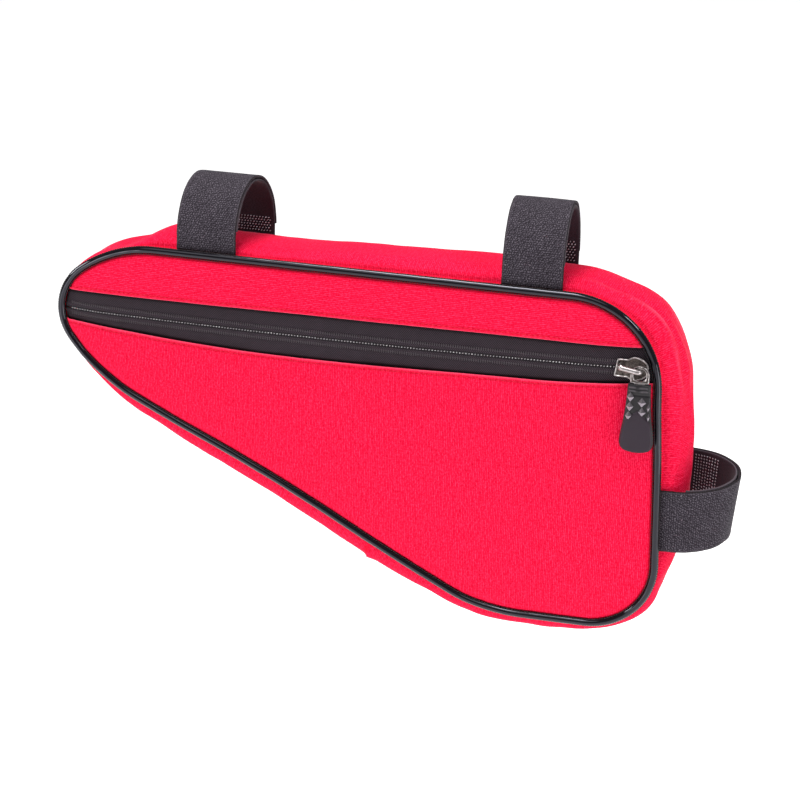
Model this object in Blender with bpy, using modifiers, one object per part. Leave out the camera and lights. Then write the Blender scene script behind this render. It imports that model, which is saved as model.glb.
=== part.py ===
"""A zipped three-cornered bag that straps inside a bicycle's frame. Metres, +Z up, +X towards the
seat tube, front face towards -Y. The origin is on the top tube's axis, halfway between the two
upper straps."""

import math
from collections import namedtuple

import bmesh
import bpy
import numpy as np
from mathutils import Matrix, Vector
from mathutils.geometry import delaunay_2d_cdt

# The seam line that the piping follows, seen from the front
SEAM_LENGTH = 0.323  # rear side to the nose's sharp point, before rounding
SEAM_HEIGHT = 0.1655  # top rear corner to the bottom, before rounding
SEAM_DEPTH = 0.052  # front seam plane to back seam plane
AXIS_RISE = 0.0175  # the top tube's axis above the top seam

# Walls, and the clearance that touching pieces keep
PANEL_WALL = 0.0016
GUSSET_WALL = 0.002
TAPE_WALL = 0.001
GAP = 0.0003
LAYER_GAP = 0.00045  # between the panels, the tapes and the coil, which all curve

# The faces: how far they stand in front of their seam plane, and how they crown
EDGE_STAND = 0.001
CROWN_HEIGHT = 0.003
CROWN_REACH = 0.022  # from the edge to where the crown is full
CROWN_RINGS = 4
RING_CLEARANCE = 0.0026  # from a ring's points to the nearest edge
CUT_STEPS = 32  # points along the zip's window and along the tapes' slit
MERGE = 1e-7  # distances under which two points are one
WELD = 1e-6

# Piping and the gusset behind it
PIPING_RADIUS = 0.0018
VALLEY_RISE = 0.0008  # the gusset's outer face at its front seam, outside the seam line
BACK_INSET = 0.002  # how much smaller the back face is than the front one, all round
FRONT_VALLEY = 0.0024  # flat strip of gusset behind the piping
BACK_VALLEY = 0.0022
FULLNESS = 0.7  # the bulge's shape: 1 is a sine, less is squarer
ARCH_STEPS = 9  # rows of faces across the gusset's bulge

# Zip
ZIP_DROP = 0.0316  # the zip's ends below the top rear corner
ZIP_SAG = 0.0018  # how far its line hangs in the middle
WINDOW_ABOVE = 0.0096  # the zip's ends to the level of the upper panel's folded edge
WINDOW_BELOW = 0.0127  # the zip's ends to the lower panel's folded edge, where it is lowest
TAPE_HIDDEN = 0.005  # tape behind each folded edge
SLIT_WIDTH = 0.0006
COIL_WIDTH = 0.0056
COIL_WALL = 0.002
COIL_SETBACK = 0.006  # the coil's ends, inside the panels' edge
COIL_STEPS = 30

# Slider, with its arched bridge
SLIDER_SETBACK = 0.0012  # the slider's nose to the panels' edge
PLATE_LENGTH = 0.0155
PLATE_WIDTH = 0.0115
PLATE_WALL = 0.0014
POST_LENGTH = 0.005
POST_WIDTH = 0.0024
POST_SETBACK = 0.002  # the post to the slider's nose
BRIDGE_SPAN = 0.0094  # leg to leg
BRIDGE_RADIUS = 0.0011
BRIDGE_SLANT = 0.0016  # how far the front leg stands above the zip's line
BRIDGE_SETBACK = 0.0031  # the rear leg to the slider's nose
BRIDGE_CORNER = 0.0013

# Puller: a stamped ring and a moulded grip that hangs from it
RING_WALL = 0.0014
RING_HOLE = 0.0031  # radius
RING_RIM = 0.0013
RING_FOOT = 0.0009  # metal below the hole
RING_STEPS = 12  # sides of its half circle
HOLE_STEPS = 20
TONGUE_WIDTH = 0.005
TONGUE_LENGTH = 0.006
GRIP_LENGTH = 0.0338
GRIP_WIDTH = 0.0155
GRIP_WALL = 0.0034
GRIP_ROUNDING = 0.0007
PAD_RISE = 0.0004
GRIP_LIFT = 0.0004  # the grip's back, in front of the panels' crown

# Straps, each in two layers
STRAP_WIDTH = 0.031
STRAP_WALL = 0.0016
LOOP_RISE = 0.039  # the tallest loop's top above its seam
STRAP_LEG = 0.2  # the straight part of a leg, as a share of the loop's rise
STRAP_ARCH_STEPS = 16
INNER_END = 0.29  # the inner layer's end above the front seam, as a share of LOOP_RISE

Corner = namedtuple("Corner", "name back down radius arc_steps run_steps")
# back is a share of SEAM_LENGTH; down and radius are shares of SEAM_HEIGHT.
CORNERS = [
    Corner("top_rear", 0.0308, 0.000, 0.2525, 8, 13),
    Corner("brow", 0.8809, -0.019, 0.419, 5, 1),
    Corner("nose", 1.0000, 0.162, 0.1285, 8, 2),
    Corner("chin", 0.8604, 0.434, 0.6955, 3, 10),
    Corner("heel", 0.2992, 0.993, 0.555, 4, 3),
    Corner("bottom_rear", 0.0000, 1.000, 0.221, 6, 9),
]
MOST_TANGENT = 0.497  # of a side that a corner's rounding may take

Bulge = namedtuple("Bulge", "place along rise")
# along counts the outline's legs: 0 is the first corner's arc, 1 the side after it, and so on.
# rise is a share of SEAM_DEPTH.
BULGES = [
    Bulge("rear side's top", 0.0, 0.240),
    Bulge("top rear corner's start", 0.15, 0.202),
    Bulge("top rear corner", 0.4, 0.196),
    Bulge("top rear corner's end", 0.72, 0.070),
    Bulge("top, behind the strap", 1.0, 0.100),
    Bulge("top, before the rear strap", 1.23, 0.135),
    Bulge("top, middle", 1.5, 0.112),
    Bulge("top, behind the front strap", 1.69, 0.085),
    Bulge("top, front strap", 1.9, 0.068),
    Bulge("brow", 2.1, 0.038),
    Bulge("brow's end", 2.5, 0.026),
    Bulge("forehead", 3.1, 0.045),
    Bulge("nose", 4.2, 0.050),
    Bulge("nose's tip", 4.5, 0.140),
    Bulge("under the nose", 4.9, 0.255),
    Bulge("throat", 5.3, 0.312),
    Bulge("chin", 6.0, 0.322),
    Bulge("chin's end", 6.9, 0.288),
    Bulge("slanted side", 7.1, 0.297),
    Bulge("slanted side, middle", 7.42, 0.254),
    Bulge("slanted side's gusset join", 7.8, 0.288),
    Bulge("heel", 8.1, 0.236),
    Bulge("heel's end", 8.75, 0.244),
    Bulge("bottom", 9.7, 0.246),
    Bulge("bottom rear corner", 10.2, 0.188),
    Bulge("bottom rear corner, middle", 10.5, 0.172),
    Bulge("rear side's foot", 10.85, 0.070),
    Bulge("rear side, under the strap", 11.2, 0.100),
    Bulge("rear side, above the strap", 11.42, 0.210),
    Bulge("rear side, fullest", 11.65, 0.254),
]

Fold = namedtuple("Fold", "name along across rise length breadth")
# across runs from the front seam, 0, to the back seam, 1, and breadth is in the same shares.
# rise is a share of SEAM_DEPTH, and length is in legs of the outline.
FOLDS = [
    Fold("corner_ridge", 0.35, 0.34, 0.022, 0.55, 0.09),
    Fold("corner_trough", 0.45, 0.17, -0.026, 0.50, 0.07),
    Fold("rear_crease", 11.78, 0.44, -0.028, 0.16, 0.07),
    Fold("rear_roll", 11.72, 0.28, 0.018, 0.18, 0.07),
    Fold("rear_strap_dimple", 1.13, 0.14, -0.022, 0.05, 0.10),
    Fold("front_strap_dimple", 1.79, 0.14, -0.018, 0.05, 0.10),
    Fold("brow_hollow", 2.9, 0.30, -0.016, 0.45, 0.16),
    Fold("seat_strap_dimple", 11.50, 0.16, -0.020, 0.06, 0.10),
]

Lip = namedtuple("Lip", "share drop")
# share runs from the nose, 0, to the rear, 1; drop is a share of WINDOW_BELOW.
LOWER_LIP = [
    Lip(0.00, 0.44),
    Lip(0.08, 0.60),
    Lip(0.24, 0.87),
    Lip(0.34, 0.98),
    Lip(0.46, 1.00),
    Lip(0.63, 0.93),
    Lip(0.86, 0.80),
    Lip(1.00, 0.54),
]

Strap = namedtuple("Strap", "name start end share rise free_end skew flare")
# share is the strap's place between two corners. rise and free_end are shares of LOOP_RISE above
# the seam. skew is how far the back foot stands towards the second corner, and flare how much
# further the edge on that side reaches: shares of STRAP_WIDTH and of the loop's rise.
STRAPS = [
    Strap("front_strap", "top_rear", "brow", 0.8165, 0.94, 0.20, -0.09, 0.0),
    Strap("rear_strap", "top_rear", "brow", 0.2194, 1.00, 0.25, 0.07, 0.0),
    Strap("seat_strap", "bottom_rear", "top_rear", 0.350, 0.91, 0.25, 0.17, 0.12),
]

Outline = namedtuple("Outline", "length width")
# A half outline from the rear end, 0, to the nose, 1; width is a share of half the full width.
PLATE_OUTLINE = [
    Outline(0.00, 0.68),
    Outline(0.05, 0.77),
    Outline(0.38, 0.77),
    Outline(0.54, 1.00),
    Outline(0.74, 0.96),
    Outline(0.92, 0.66),
    Outline(1.00, 0.34),
]
# From the grip's collar, 0, to its foot, 1.
GRIP_OUTLINE = [
    Outline(0.00, 0.66),
    Outline(0.14, 0.68),
    Outline(0.34, 0.74),
    Outline(0.52, 0.82),
    Outline(0.66, 0.92),
    Outline(0.79, 0.99),
    Outline(0.86, 1.00),
    Outline(0.92, 0.93),
    Outline(0.96, 0.77),
    Outline(0.99, 0.46),
    Outline(1.00, 0.18),
]
PAD_OUTLINE = [
    Outline(0.385, 0.04),
    Outline(0.50, 0.46),
    Outline(0.58, 0.66),
    Outline(0.70, 0.80),
    Outline(0.83, 0.88),
    Outline(0.90, 0.82),
    Outline(0.95, 0.62),
    Outline(0.975, 0.30),
]

Finish = namedtuple("Finish", "colour roughness metallic")
FINISHES = {
    "red_cloth": Finish((0.86, 0.01, 0.07), 0.85, 0.0),
    "black_piping": Finish((0.012, 0.012, 0.014), 0.25, 0.0),
    "black_webbing": Finish((0.035, 0.032, 0.036), 0.9, 0.0),
    "zip_tape": Finish((0.022, 0.018, 0.020), 0.85, 0.0),
    "zip_coil": Finish((0.05, 0.045, 0.05), 0.5, 0.0),
    "gunmetal": Finish((0.42, 0.38, 0.36), 0.3, 1.0),
    "grip_rubber": Finish((0.055, 0.042, 0.055), 0.55, 0.0),
}

Station = namedtuple("Station", "point normal along")


def unit(vector):
    return vector / np.linalg.norm(vector)


def outward(direction):
    """The outline runs anticlockwise seen from the front, so its outside is on the right."""
    return np.array([direction[1], -direction[0]])


def turned(vector, angle):
    cosine, sine = math.cos(angle), math.sin(angle)
    x, z = vector
    return np.array([cosine * x - sine * z, sine * x + cosine * z])


def corner_places():
    """Each corner's (x, z), with the upper straps' middle over x = 0."""
    places = {c.name: np.array([-c.back * SEAM_LENGTH, -c.down * SEAM_HEIGHT]) for c in CORNERS}
    upper = [s for s in STRAPS if s.start == "top_rear"]
    seats = [places[s.start] * (1 - s.share) + places[s.end] * s.share for s in upper]
    shift = np.array([0.0, -AXIS_RISE]) - np.mean(seats, axis=0)
    return {name: place + shift for name, place in places.items()}


PLACES = corner_places()
TOP_Z = PLACES["top_rear"][1]
FRONT_SEAM = -SEAM_DEPTH / 2
BACK_SEAM = SEAM_DEPTH / 2
ZIP_Z = TOP_Z - ZIP_DROP


def seam_stations():
    """The seam line's points, each with its outward normal and its count along the outline."""
    points = [PLACES[c.name] for c in CORNERS]
    arcs = []
    for index, (corner, here) in enumerate(zip(CORNERS, points)):
        to_here = here - points[index - 1]
        from_here = points[(index + 1) % len(points)] - here
        into, out = unit(to_here), unit(from_here)
        turn = math.atan2(into[0] * out[1] - into[1] * out[0], into @ out)
        shorter = min(np.linalg.norm(to_here), np.linalg.norm(from_here))
        half_tangent = math.tan(turn / 2)
        reach = min(corner.radius * SEAM_HEIGHT * half_tangent, MOST_TANGENT * shorter)
        radius = reach / half_tangent
        start = here - into * reach
        arcs.append((start, outward(into), turn, radius, here + out * reach))
    stations = []
    for index, (corner, arc) in enumerate(zip(CORNERS, arcs)):
        start, normal, turn, radius, end = arc
        centre = start - normal * radius
        for step in range(corner.arc_steps):
            share = step / corner.arc_steps
            facing = turned(normal, turn * share)
            stations.append(Station(centre + facing * radius, facing, 2 * index + share))
        facing = turned(normal, turn)
        next_start = arcs[(index + 1) % len(arcs)][0]
        for step in range(corner.run_steps):
            share = step / corner.run_steps
            point = end * (1 - share) + next_start * share
            stations.append(Station(point, facing, 2 * index + 1 + share))
    return stations


STATIONS = seam_stations()


def seam_offset(distance):
    return [s.point + s.normal * distance for s in STATIONS]


PANEL_INSET = PIPING_RADIUS + GAP
PANEL_EDGE = seam_offset(-PANEL_INSET)
BACK_EDGE = seam_offset(VALLEY_RISE - BACK_INSET)


def edge_distance(point, loop):
    """From a point to the nearest place on a closed outline."""
    starts = np.array(loop)
    sides = np.roll(starts, -1, axis=0) - starts
    shares = ((point - starts) * sides).sum(axis=1) / (sides * sides).sum(axis=1)
    nearest = starts + sides * np.clip(shares, 0, 1)[:, None]
    return np.linalg.norm(point - nearest, axis=1).min()


def is_inside(point, loop):
    inside = False
    for a, b in zip(loop, loop[1:] + loop[:1]):
        if (a[1] > point[1]) != (b[1] > point[1]):
            crossing = a[0] + (b[0] - a[0]) * (point[1] - a[1]) / (b[1] - a[1])
            inside ^= point[0] < crossing
    return inside


def crown(point, loop):
    """How far a face stands out of its flat edge: a quick rise, then level."""
    share = min(edge_distance(point, loop) / CROWN_REACH, 1.0)
    return CROWN_HEIGHT * (1 - (1 - share) ** 2)


def front_face(point):
    """The front panels' outer face at (x, z)."""
    return FRONT_SEAM - EDGE_STAND - crown(point, PANEL_EDGE)


def behind_front(depth):
    return lambda point: front_face(point) + depth


def back_face(point):
    return BACK_SEAM + PANEL_WALL + crown(point, BACK_EDGE)


def side_x(z, facing):
    """Where the panels' edge crosses a height, at the nose (-1) or at the rear (1)."""
    crossings = []
    for a, b in zip(PANEL_EDGE, PANEL_EDGE[1:] + PANEL_EDGE[:1]):
        if (a[1] > z) != (b[1] > z):
            crossings.append(a[0] + (b[0] - a[0]) * (z - a[1]) / (b[1] - a[1]))
    return max(crossings) if facing > 0 else min(crossings)


ZIP_NOSE_X = side_x(ZIP_Z, -1)
ZIP_REAR_X = side_x(ZIP_Z, 1)
SLIDER_NOSE_X = ZIP_REAR_X - SLIDER_SETBACK
POST_REAR_X = SLIDER_NOSE_X - POST_SETBACK
POST_FRONT_X = POST_REAR_X - POST_LENGTH


def zip_share(x):
    return (x - ZIP_NOSE_X) / (ZIP_REAR_X - ZIP_NOSE_X)


def zip_line(x):
    return ZIP_Z - ZIP_SAG * (1 - (2 * zip_share(x) - 1) ** 2)


def eased(share):
    share = min(max(share, 0.0), 1.0)
    return share * share * (3 - 2 * share)


def slit_half(x):
    """Half the slit between the tapes, which part round the slider's post."""
    open_half = POST_WIDTH / 2 + GAP
    parting = eased((x - (POST_FRONT_X - 2 * POST_LENGTH)) / (2 * POST_LENGTH - GAP))
    return SLIT_WIDTH / 2 + (open_half - SLIT_WIDTH / 2) * parting


def window_top(x):
    return ZIP_Z + WINDOW_ABOVE


def window_bottom(x):
    shares = [lip.share for lip in LOWER_LIP]
    drops = [lip.drop for lip in LOWER_LIP]
    return ZIP_Z - WINDOW_BELOW * np.interp(zip_share(x), shares, drops)


def trimmed(loop, level, side, marks=()):
    """The part of an outline above (side 1) or below (side -1) a level that depends on x. Points
    along the cut crowd towards its ends, where the face curves."""
    kept = []
    for a, b in zip(loop, loop[1:] + loop[:1]):
        height_a = side * (a[1] - level(a[0]))
        height_b = side * (b[1] - level(b[0]))
        if height_a >= 0:
            kept.append(a)
        if height_a * height_b < 0:
            crossing = a + (b - a) * height_a / (height_a - height_b)
            kept.append(crossing)
            if height_a > 0:
                leave, spot = crossing[0], len(kept)
            else:
                enter = crossing[0]
    middle, half = (leave + enter) / 2, (enter - leave) / 2
    turns = [math.pi * i / CUT_STEPS for i in range(1, CUT_STEPS)]
    places = [middle - half * math.cos(turn) for turn in turns]
    low, high = sorted((leave, enter))
    places += [mark for mark in marks if low + GAP < mark < high - GAP]
    places.sort(reverse=bool(enter < leave))
    line = [np.array([x, level(x)]) for x in places]
    return kept[:spot] + line + kept[spot:]


def new_object(name, data, finish, collection="frame_bag"):
    thing = bpy.data.objects.new(name, data)
    bpy.data.collections[collection].objects.link(thing)
    if finish:
        data.materials.append(bpy.data.materials[finish])
    return thing


def solidified(thing, wall):
    """Thickens an open surface inwards, away from the side that its faces look to."""
    modifier = thing.modifiers.new("wall", "SOLIDIFY")
    modifier.thickness = wall
    modifier.offset = -1
    modifier.use_even_offset = True
    return thing


def sheet(name, loop, surface, facing, wall, finish, rings=()):
    """A stretched cloth face: an outline in x and z, with y from surface, thickened inwards."""
    inner = [p for ring in rings for p in seam_offset(-PANEL_INSET - ring)]
    inner = [p for p in inner if is_inside(p, loop) and edge_distance(p, loop) > RING_CLEARANCE]
    flat = [Vector(p) for p in loop + inner]
    sides = [(i, (i + 1) % len(loop)) for i in range(len(loop))]
    points, _, faces, _, _, _ = delaunay_2d_cdt(flat, sides, [], 1, MERGE)
    work = bmesh.new()
    corners = [work.verts.new((p.x, surface(np.array(p)), p.y)) for p in points]
    for face in faces:
        work.faces.new([corners[i] for i in face])
    bmesh.ops.recalc_face_normals(work, faces=work.faces)
    work.faces.ensure_lookup_table()
    if work.faces[0].normal.y * facing < 0:
        bmesh.ops.reverse_faces(work, faces=work.faces)
    mesh = bpy.data.meshes.new(name)
    work.to_mesh(mesh)
    work.free()
    mesh.shade_smooth()
    return solidified(new_object(name, mesh, finish), wall)


def lofted(name, sections, closed, wall, finish):
    """A surface through like sections, thickened inwards."""
    work = bmesh.new()
    rows = [[work.verts.new(point) for point in section] for section in sections]
    followers = rows[1:] + (rows[:1] if closed else [])
    for row, follower in zip(rows, followers):
        for i in range(len(row) - 1):
            work.faces.new((row[i], row[i + 1], follower[i + 1], follower[i]))
    mesh = bpy.data.meshes.new(name)
    work.to_mesh(mesh)
    work.free()
    mesh.shade_smooth()
    return solidified(new_object(name, mesh, finish), wall)


def flat_plate(name, loops, wall, finish, collection="frame_bag"):
    """A plate in the front plane, centred on y = 0, from one outline and its holes."""
    curve = bpy.data.curves.new(name, "CURVE")
    curve.dimensions = "2D"
    curve.fill_mode = "BOTH"
    curve.extrude = wall / 2
    for loop in loops:
        spline = curve.splines.new("POLY")
        spline.points.add(len(loop) - 1)
        for spot, (x, z) in zip(spline.points, loop):
            spot.co = (x, z, 0, 1)
        spline.use_cyclic_u = True
    thing = new_object(name, curve, finish, collection)
    thing.rotation_euler = (math.pi / 2, 0, 0)
    return thing


def tube(name, path, radius, closed, finish, collection="frame_bag"):
    curve = bpy.data.curves.new(name, "CURVE")
    curve.dimensions = "3D"
    curve.bevel_depth = radius
    curve.bevel_resolution = 2
    curve.use_fill_caps = not closed
    spline = curve.splines.new("POLY")
    spline.points.add(len(path) - 1)
    for spot, point in zip(spline.points, path):
        spot.co = (*point, 1)
        spot.radius = 1
    spline.use_cyclic_u = closed
    return new_object(name, curve, finish, collection)


def as_mesh(thing, finish):
    """The same object as a mesh with its caps welded, which a Boolean can use."""
    bpy.context.view_layer.update()
    graph = bpy.context.evaluated_depsgraph_get()
    mesh = bpy.data.meshes.new_from_object(thing.evaluated_get(graph))
    work = bmesh.new()
    work.from_mesh(mesh)
    bmesh.ops.remove_doubles(work, verts=work.verts, dist=WELD)
    bmesh.ops.recalc_face_normals(work, faces=work.faces)
    work.to_mesh(mesh)
    work.free()
    name, place, collection = thing.name, thing.matrix_world.copy(), thing.users_collection[0].name
    curve = thing.data
    bpy.data.objects.remove(thing)
    bpy.data.curves.remove(curve)
    mesh.materials.clear()
    solid = new_object(name, mesh, finish, collection)
    solid.matrix_world = place
    return solid


def combined(thing, tool, operation):
    modifier = thing.modifiers.new(tool.name, "BOOLEAN")
    modifier.operation = operation
    modifier.solver = "MANIFOLD"
    modifier.object = tool
    tool.hide_render = True
    tool.display_type = "WIRE"


def box_tool(name, low, high):
    work = bmesh.new()
    centre = (Vector(low) + Vector(high)) / 2
    size = Vector(high) - Vector(low)
    bmesh.ops.create_cube(work, size=1, matrix=Matrix.LocRotScale(centre, None, size))
    mesh = bpy.data.meshes.new(name)
    work.to_mesh(mesh)
    work.free()
    return new_object(name, mesh, None, "cutters")


def full_outline(half, length, width):
    """Both sides of a half outline, as (along, across) pairs."""
    one = [(row.length * length, row.width * width / 2) for row in half]
    return one + [(along, -across) for along, across in reversed(one)]


def bulge_at(along):
    """How far the gusset bulges past its seams, eased from row to row round the outline."""
    legs = 2 * len(CORNERS)
    following = BULGES[1:] + [BULGES[0]._replace(along=legs)]
    for row, after in zip(BULGES, following):
        if row.along <= along <= after.along:
            share = eased((along - row.along) / (after.along - row.along))
            return SEAM_DEPTH * (row.rise + (after.rise - row.rise) * share)
    return SEAM_DEPTH * BULGES[-1].rise


def folds_at(along, across):
    legs = 2 * len(CORNERS)
    total = 0.0
    for fold in FOLDS:
        apart = (along - fold.along + legs / 2) % legs - legs / 2
        fall = (apart / fold.length) ** 2 + ((across - fold.across) / fold.breadth) ** 2
        total += SEAM_DEPTH * fold.rise * math.exp(-fall)
    return total


def gusset():
    """The strip that joins the two faces all round, bulging between flat seam margins."""
    rim_front = FRONT_SEAM + PIPING_RADIUS + GAP
    rim_back = BACK_SEAM - GAP
    arch_front, arch_back = rim_front + FRONT_VALLEY, rim_back - BACK_VALLEY
    middle, half = (arch_front + arch_back) / 2, (arch_back - arch_front) / 2
    sections = []
    for station in STATIONS:
        bulge = bulge_at(station.along)
        profile = [(rim_front, 0.0)]
        for step in range(ARCH_STEPS + 1):
            across = step / ARCH_STEPS
            angle = math.pi * across
            fold = folds_at(station.along, across) * math.sin(angle)
            full = max(math.sin(angle), 0.0) ** FULLNESS
            profile.append((middle - half * math.cos(angle), bulge * full + fold))
        profile.append((rim_back, 0.0))
        section = []
        for y, rise in profile:
            inset = BACK_INSET * (y - rim_front) / (rim_back - rim_front)
            place = station.point + station.normal * (VALLEY_RISE - inset + rise)
            section.append((place[0], y, place[1]))
        sections.append(section)
    lofted("gusset", sections, True, GUSSET_WALL, "red_cloth")


def panels():
    rings = [CROWN_REACH * (i + 1) / CROWN_RINGS for i in range(CROWN_RINGS)]
    upper = trimmed(PANEL_EDGE, window_top, 1)
    sheet("front_upper_panel", upper, front_face, -1, PANEL_WALL, "red_cloth", rings)
    lower = trimmed(PANEL_EDGE, window_bottom, -1)
    sheet("front_lower_panel", lower, front_face, -1, PANEL_WALL, "red_cloth", rings)
    sheet("back_panel", BACK_EDGE, back_face, 1, PANEL_WALL, "red_cloth", rings)


def piping():
    path = [(s.point[0], FRONT_SEAM, s.point[1]) for s in STATIONS]
    tube("piping_front", path, PIPING_RADIUS, True, "black_piping")


TAPE_DEPTH = PANEL_WALL + LAYER_GAP
COIL_DEPTH = TAPE_DEPTH + TAPE_WALL + LAYER_GAP


def zip_tapes():
    """Two woven tapes behind the panels' folded edges, parted round the slider's post."""
    post = (POST_FRONT_X - 2 * POST_LENGTH, POST_FRONT_X - POST_LENGTH, POST_FRONT_X - GAP)
    surface = behind_front(TAPE_DEPTH)
    upper = trimmed(PANEL_EDGE, lambda x: window_top(x) + TAPE_HIDDEN, -1)
    upper = trimmed(upper, lambda x: zip_line(x) + slit_half(x), 1, post)
    sheet("zip_tape_upper", upper, surface, -1, TAPE_WALL, "zip_tape")
    lower = trimmed(PANEL_EDGE, lambda x: window_bottom(x) - TAPE_HIDDEN, 1)
    lower = trimmed(lower, lambda x: zip_line(x) - slit_half(x), -1, post)
    sheet("zip_tape_lower", lower, surface, -1, TAPE_WALL, "zip_tape")


def zip_coil():
    """The closed coil behind the tapes, up to the slider's post."""
    start, end = ZIP_NOSE_X + COIL_SETBACK, POST_FRONT_X - GAP
    turns = [math.pi * i / COIL_STEPS for i in range(COIL_STEPS + 1)]
    places = [start + (end - start) * (1 - math.cos(turn)) / 2 for turn in turns]
    half = COIL_WIDTH / 2
    loop = [np.array([x, zip_line(x) - half]) for x in places]
    loop += [np.array([x, zip_line(x) + half]) for x in reversed(places)]
    sheet("zip_coil", loop, behind_front(COIL_DEPTH), -1, COIL_WALL, "zip_coil")


SLIDER_Z = zip_line(SLIDER_NOSE_X - PLATE_LENGTH / 2)
SLIDER_MIDDLE = np.array([SLIDER_NOSE_X - PLATE_LENGTH / 2, SLIDER_Z])
TAPE_FACE = front_face(SLIDER_MIDDLE) + TAPE_DEPTH
PLATE_BACK = front_face(SLIDER_MIDDLE + np.array([-PLATE_LENGTH / 2, 0])) + TAPE_DEPTH - GAP
PLATE_FRONT = PLATE_BACK - PLATE_WALL
HIGHEST_FACE = FRONT_SEAM - EDGE_STAND - CROWN_HEIGHT
PULLER_Y = HIGHEST_FACE - GRIP_LIFT - GRIP_WALL / 2
BRIDGE_Y = PULLER_Y - RING_WALL / 2 - GAP - BRIDGE_RADIUS
PIVOT = Vector((SLIDER_NOSE_X - BRIDGE_SETBACK, PULLER_Y, SLIDER_Z))


def bridge_path():
    """A staple from the front plate, out, along the slider and back: the puller hangs on it."""
    front = Vector((PIVOT.x - BRIDGE_SPAN, 0, SLIDER_Z + BRIDGE_SLANT))
    rear = Vector((PIVOT.x, 0, SLIDER_Z))
    along = (rear - front).normalized()
    foot = PLATE_FRONT + PLATE_WALL / 2
    turn = [math.radians(angle) for angle in (0, 30, 60, 90)]
    path = [Vector((front.x, foot, front.z))]
    for angle in turn:
        step = along * BRIDGE_CORNER * (1 - math.cos(angle))
        y = BRIDGE_Y + BRIDGE_CORNER * (1 - math.sin(angle))
        path.append(Vector((front.x + step.x, y, front.z + step.z)))
    for angle in reversed(turn):
        step = along * BRIDGE_CORNER * (1 - math.cos(angle))
        y = BRIDGE_Y + BRIDGE_CORNER * (1 - math.sin(angle))
        path.append(Vector((rear.x - step.x, y, rear.z - step.z)))
    path.append(Vector((rear.x, foot, rear.z)))
    return path


def slider():
    """Two plates over and under the tapes, joined by a post between them, with the bridge."""
    coil_back = TAPE_FACE + (COIL_DEPTH - TAPE_DEPTH) + COIL_WALL
    lowest = front_face(np.array([SLIDER_NOSE_X, SLIDER_Z])) - front_face(SLIDER_MIDDLE)
    under_front = coil_back + lowest + GAP
    outline = full_outline(PLATE_OUTLINE, PLATE_LENGTH, PLATE_WIDTH)
    tail_x = SLIDER_NOSE_X - PLATE_LENGTH
    loop = [(tail_x + along, SLIDER_Z + across) for along, across in outline]
    body = flat_plate("zip_slider", [loop], PLATE_WALL, "gunmetal")
    body.location.y = (PLATE_FRONT + PLATE_BACK) / 2
    body = as_mesh(body, "gunmetal")
    under = flat_plate("slider_under_plate", [loop], PLATE_WALL, None, "cutters")
    under.location.y = under_front + PLATE_WALL / 2
    under = as_mesh(under, None)
    post_half = POST_WIDTH / 2
    low = (POST_FRONT_X, PLATE_BACK - PLATE_WALL / 2, SLIDER_Z - post_half)
    high = (POST_REAR_X, under_front + PLATE_WALL / 2, SLIDER_Z + post_half)
    post = box_tool("slider_post", low, high)
    bridge = as_mesh(tube("slider_bridge", bridge_path(), BRIDGE_RADIUS, False, None, "cutters"), None)
    for tool in (post, under, bridge):
        combined(body, tool, "UNION")


def puller():
    """The ring hangs by the top of its hole on the bridge's rear leg; the grip is fixed to it."""
    pivot = bpy.data.objects.new("puller_pivot", None)
    bpy.data.collections["frame_bag"].objects.link(pivot)
    pivot.location = PIVOT
    hole_z = -(RING_HOLE - BRIDGE_RADIUS - GAP)
    outer = RING_HOLE + RING_RIM
    foot_z = hole_z - RING_HOLE - RING_FOOT
    tongue = TONGUE_WIDTH / 2
    arc = [math.pi * i / RING_STEPS for i in range(RING_STEPS + 1)]
    loop = [(outer * math.cos(a), hole_z + outer * math.sin(a)) for a in arc]
    loop += [(-outer, foot_z), (-tongue, foot_z), (-tongue, foot_z - TONGUE_LENGTH)]
    loop += [(tongue, foot_z - TONGUE_LENGTH), (tongue, foot_z), (outer, foot_z)]
    circle = [2 * math.pi * i / HOLE_STEPS for i in range(HOLE_STEPS)]
    hole = [(RING_HOLE * math.cos(a), hole_z + RING_HOLE * math.sin(a)) for a in circle]
    ring = flat_plate("puller_ring", [loop, hole], RING_WALL, "gunmetal")
    ring.parent = pivot

    top = foot_z - GAP
    outline = full_outline(GRIP_OUTLINE, GRIP_LENGTH, GRIP_WIDTH)
    shape = [(across, top - along) for along, across in outline]
    grip = as_mesh(flat_plate("puller_grip", [shape], GRIP_WALL, "grip_rubber"), "grip_rubber")
    rounding = grip.modifiers.new("rounding", "BEVEL")
    rounding.width = GRIP_ROUNDING
    rounding.segments = 2
    pad_outline = full_outline(PAD_OUTLINE, GRIP_LENGTH, GRIP_WIDTH)
    pad_shape = [(across, top - along) for along, across in pad_outline]
    pad_wall = GRIP_WALL / 2 + PAD_RISE
    pad = flat_plate("grip_pad", [pad_shape], pad_wall, None, "cutters")
    pad.location.y = -pad_wall / 2
    pad = as_mesh(pad, None)
    low = (-tongue - GAP, -RING_WALL / 2 - GAP, foot_z - TONGUE_LENGTH - GAP)
    high = (tongue + GAP, RING_WALL / 2 + GAP, foot_z + GAP)
    pocket = box_tool("grip_pocket", low, high)
    combined(grip, pad, "UNION")
    combined(grip, pocket, "DIFFERENCE")
    for thing in (grip, pad, pocket):
        thing.parent = pivot


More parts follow.
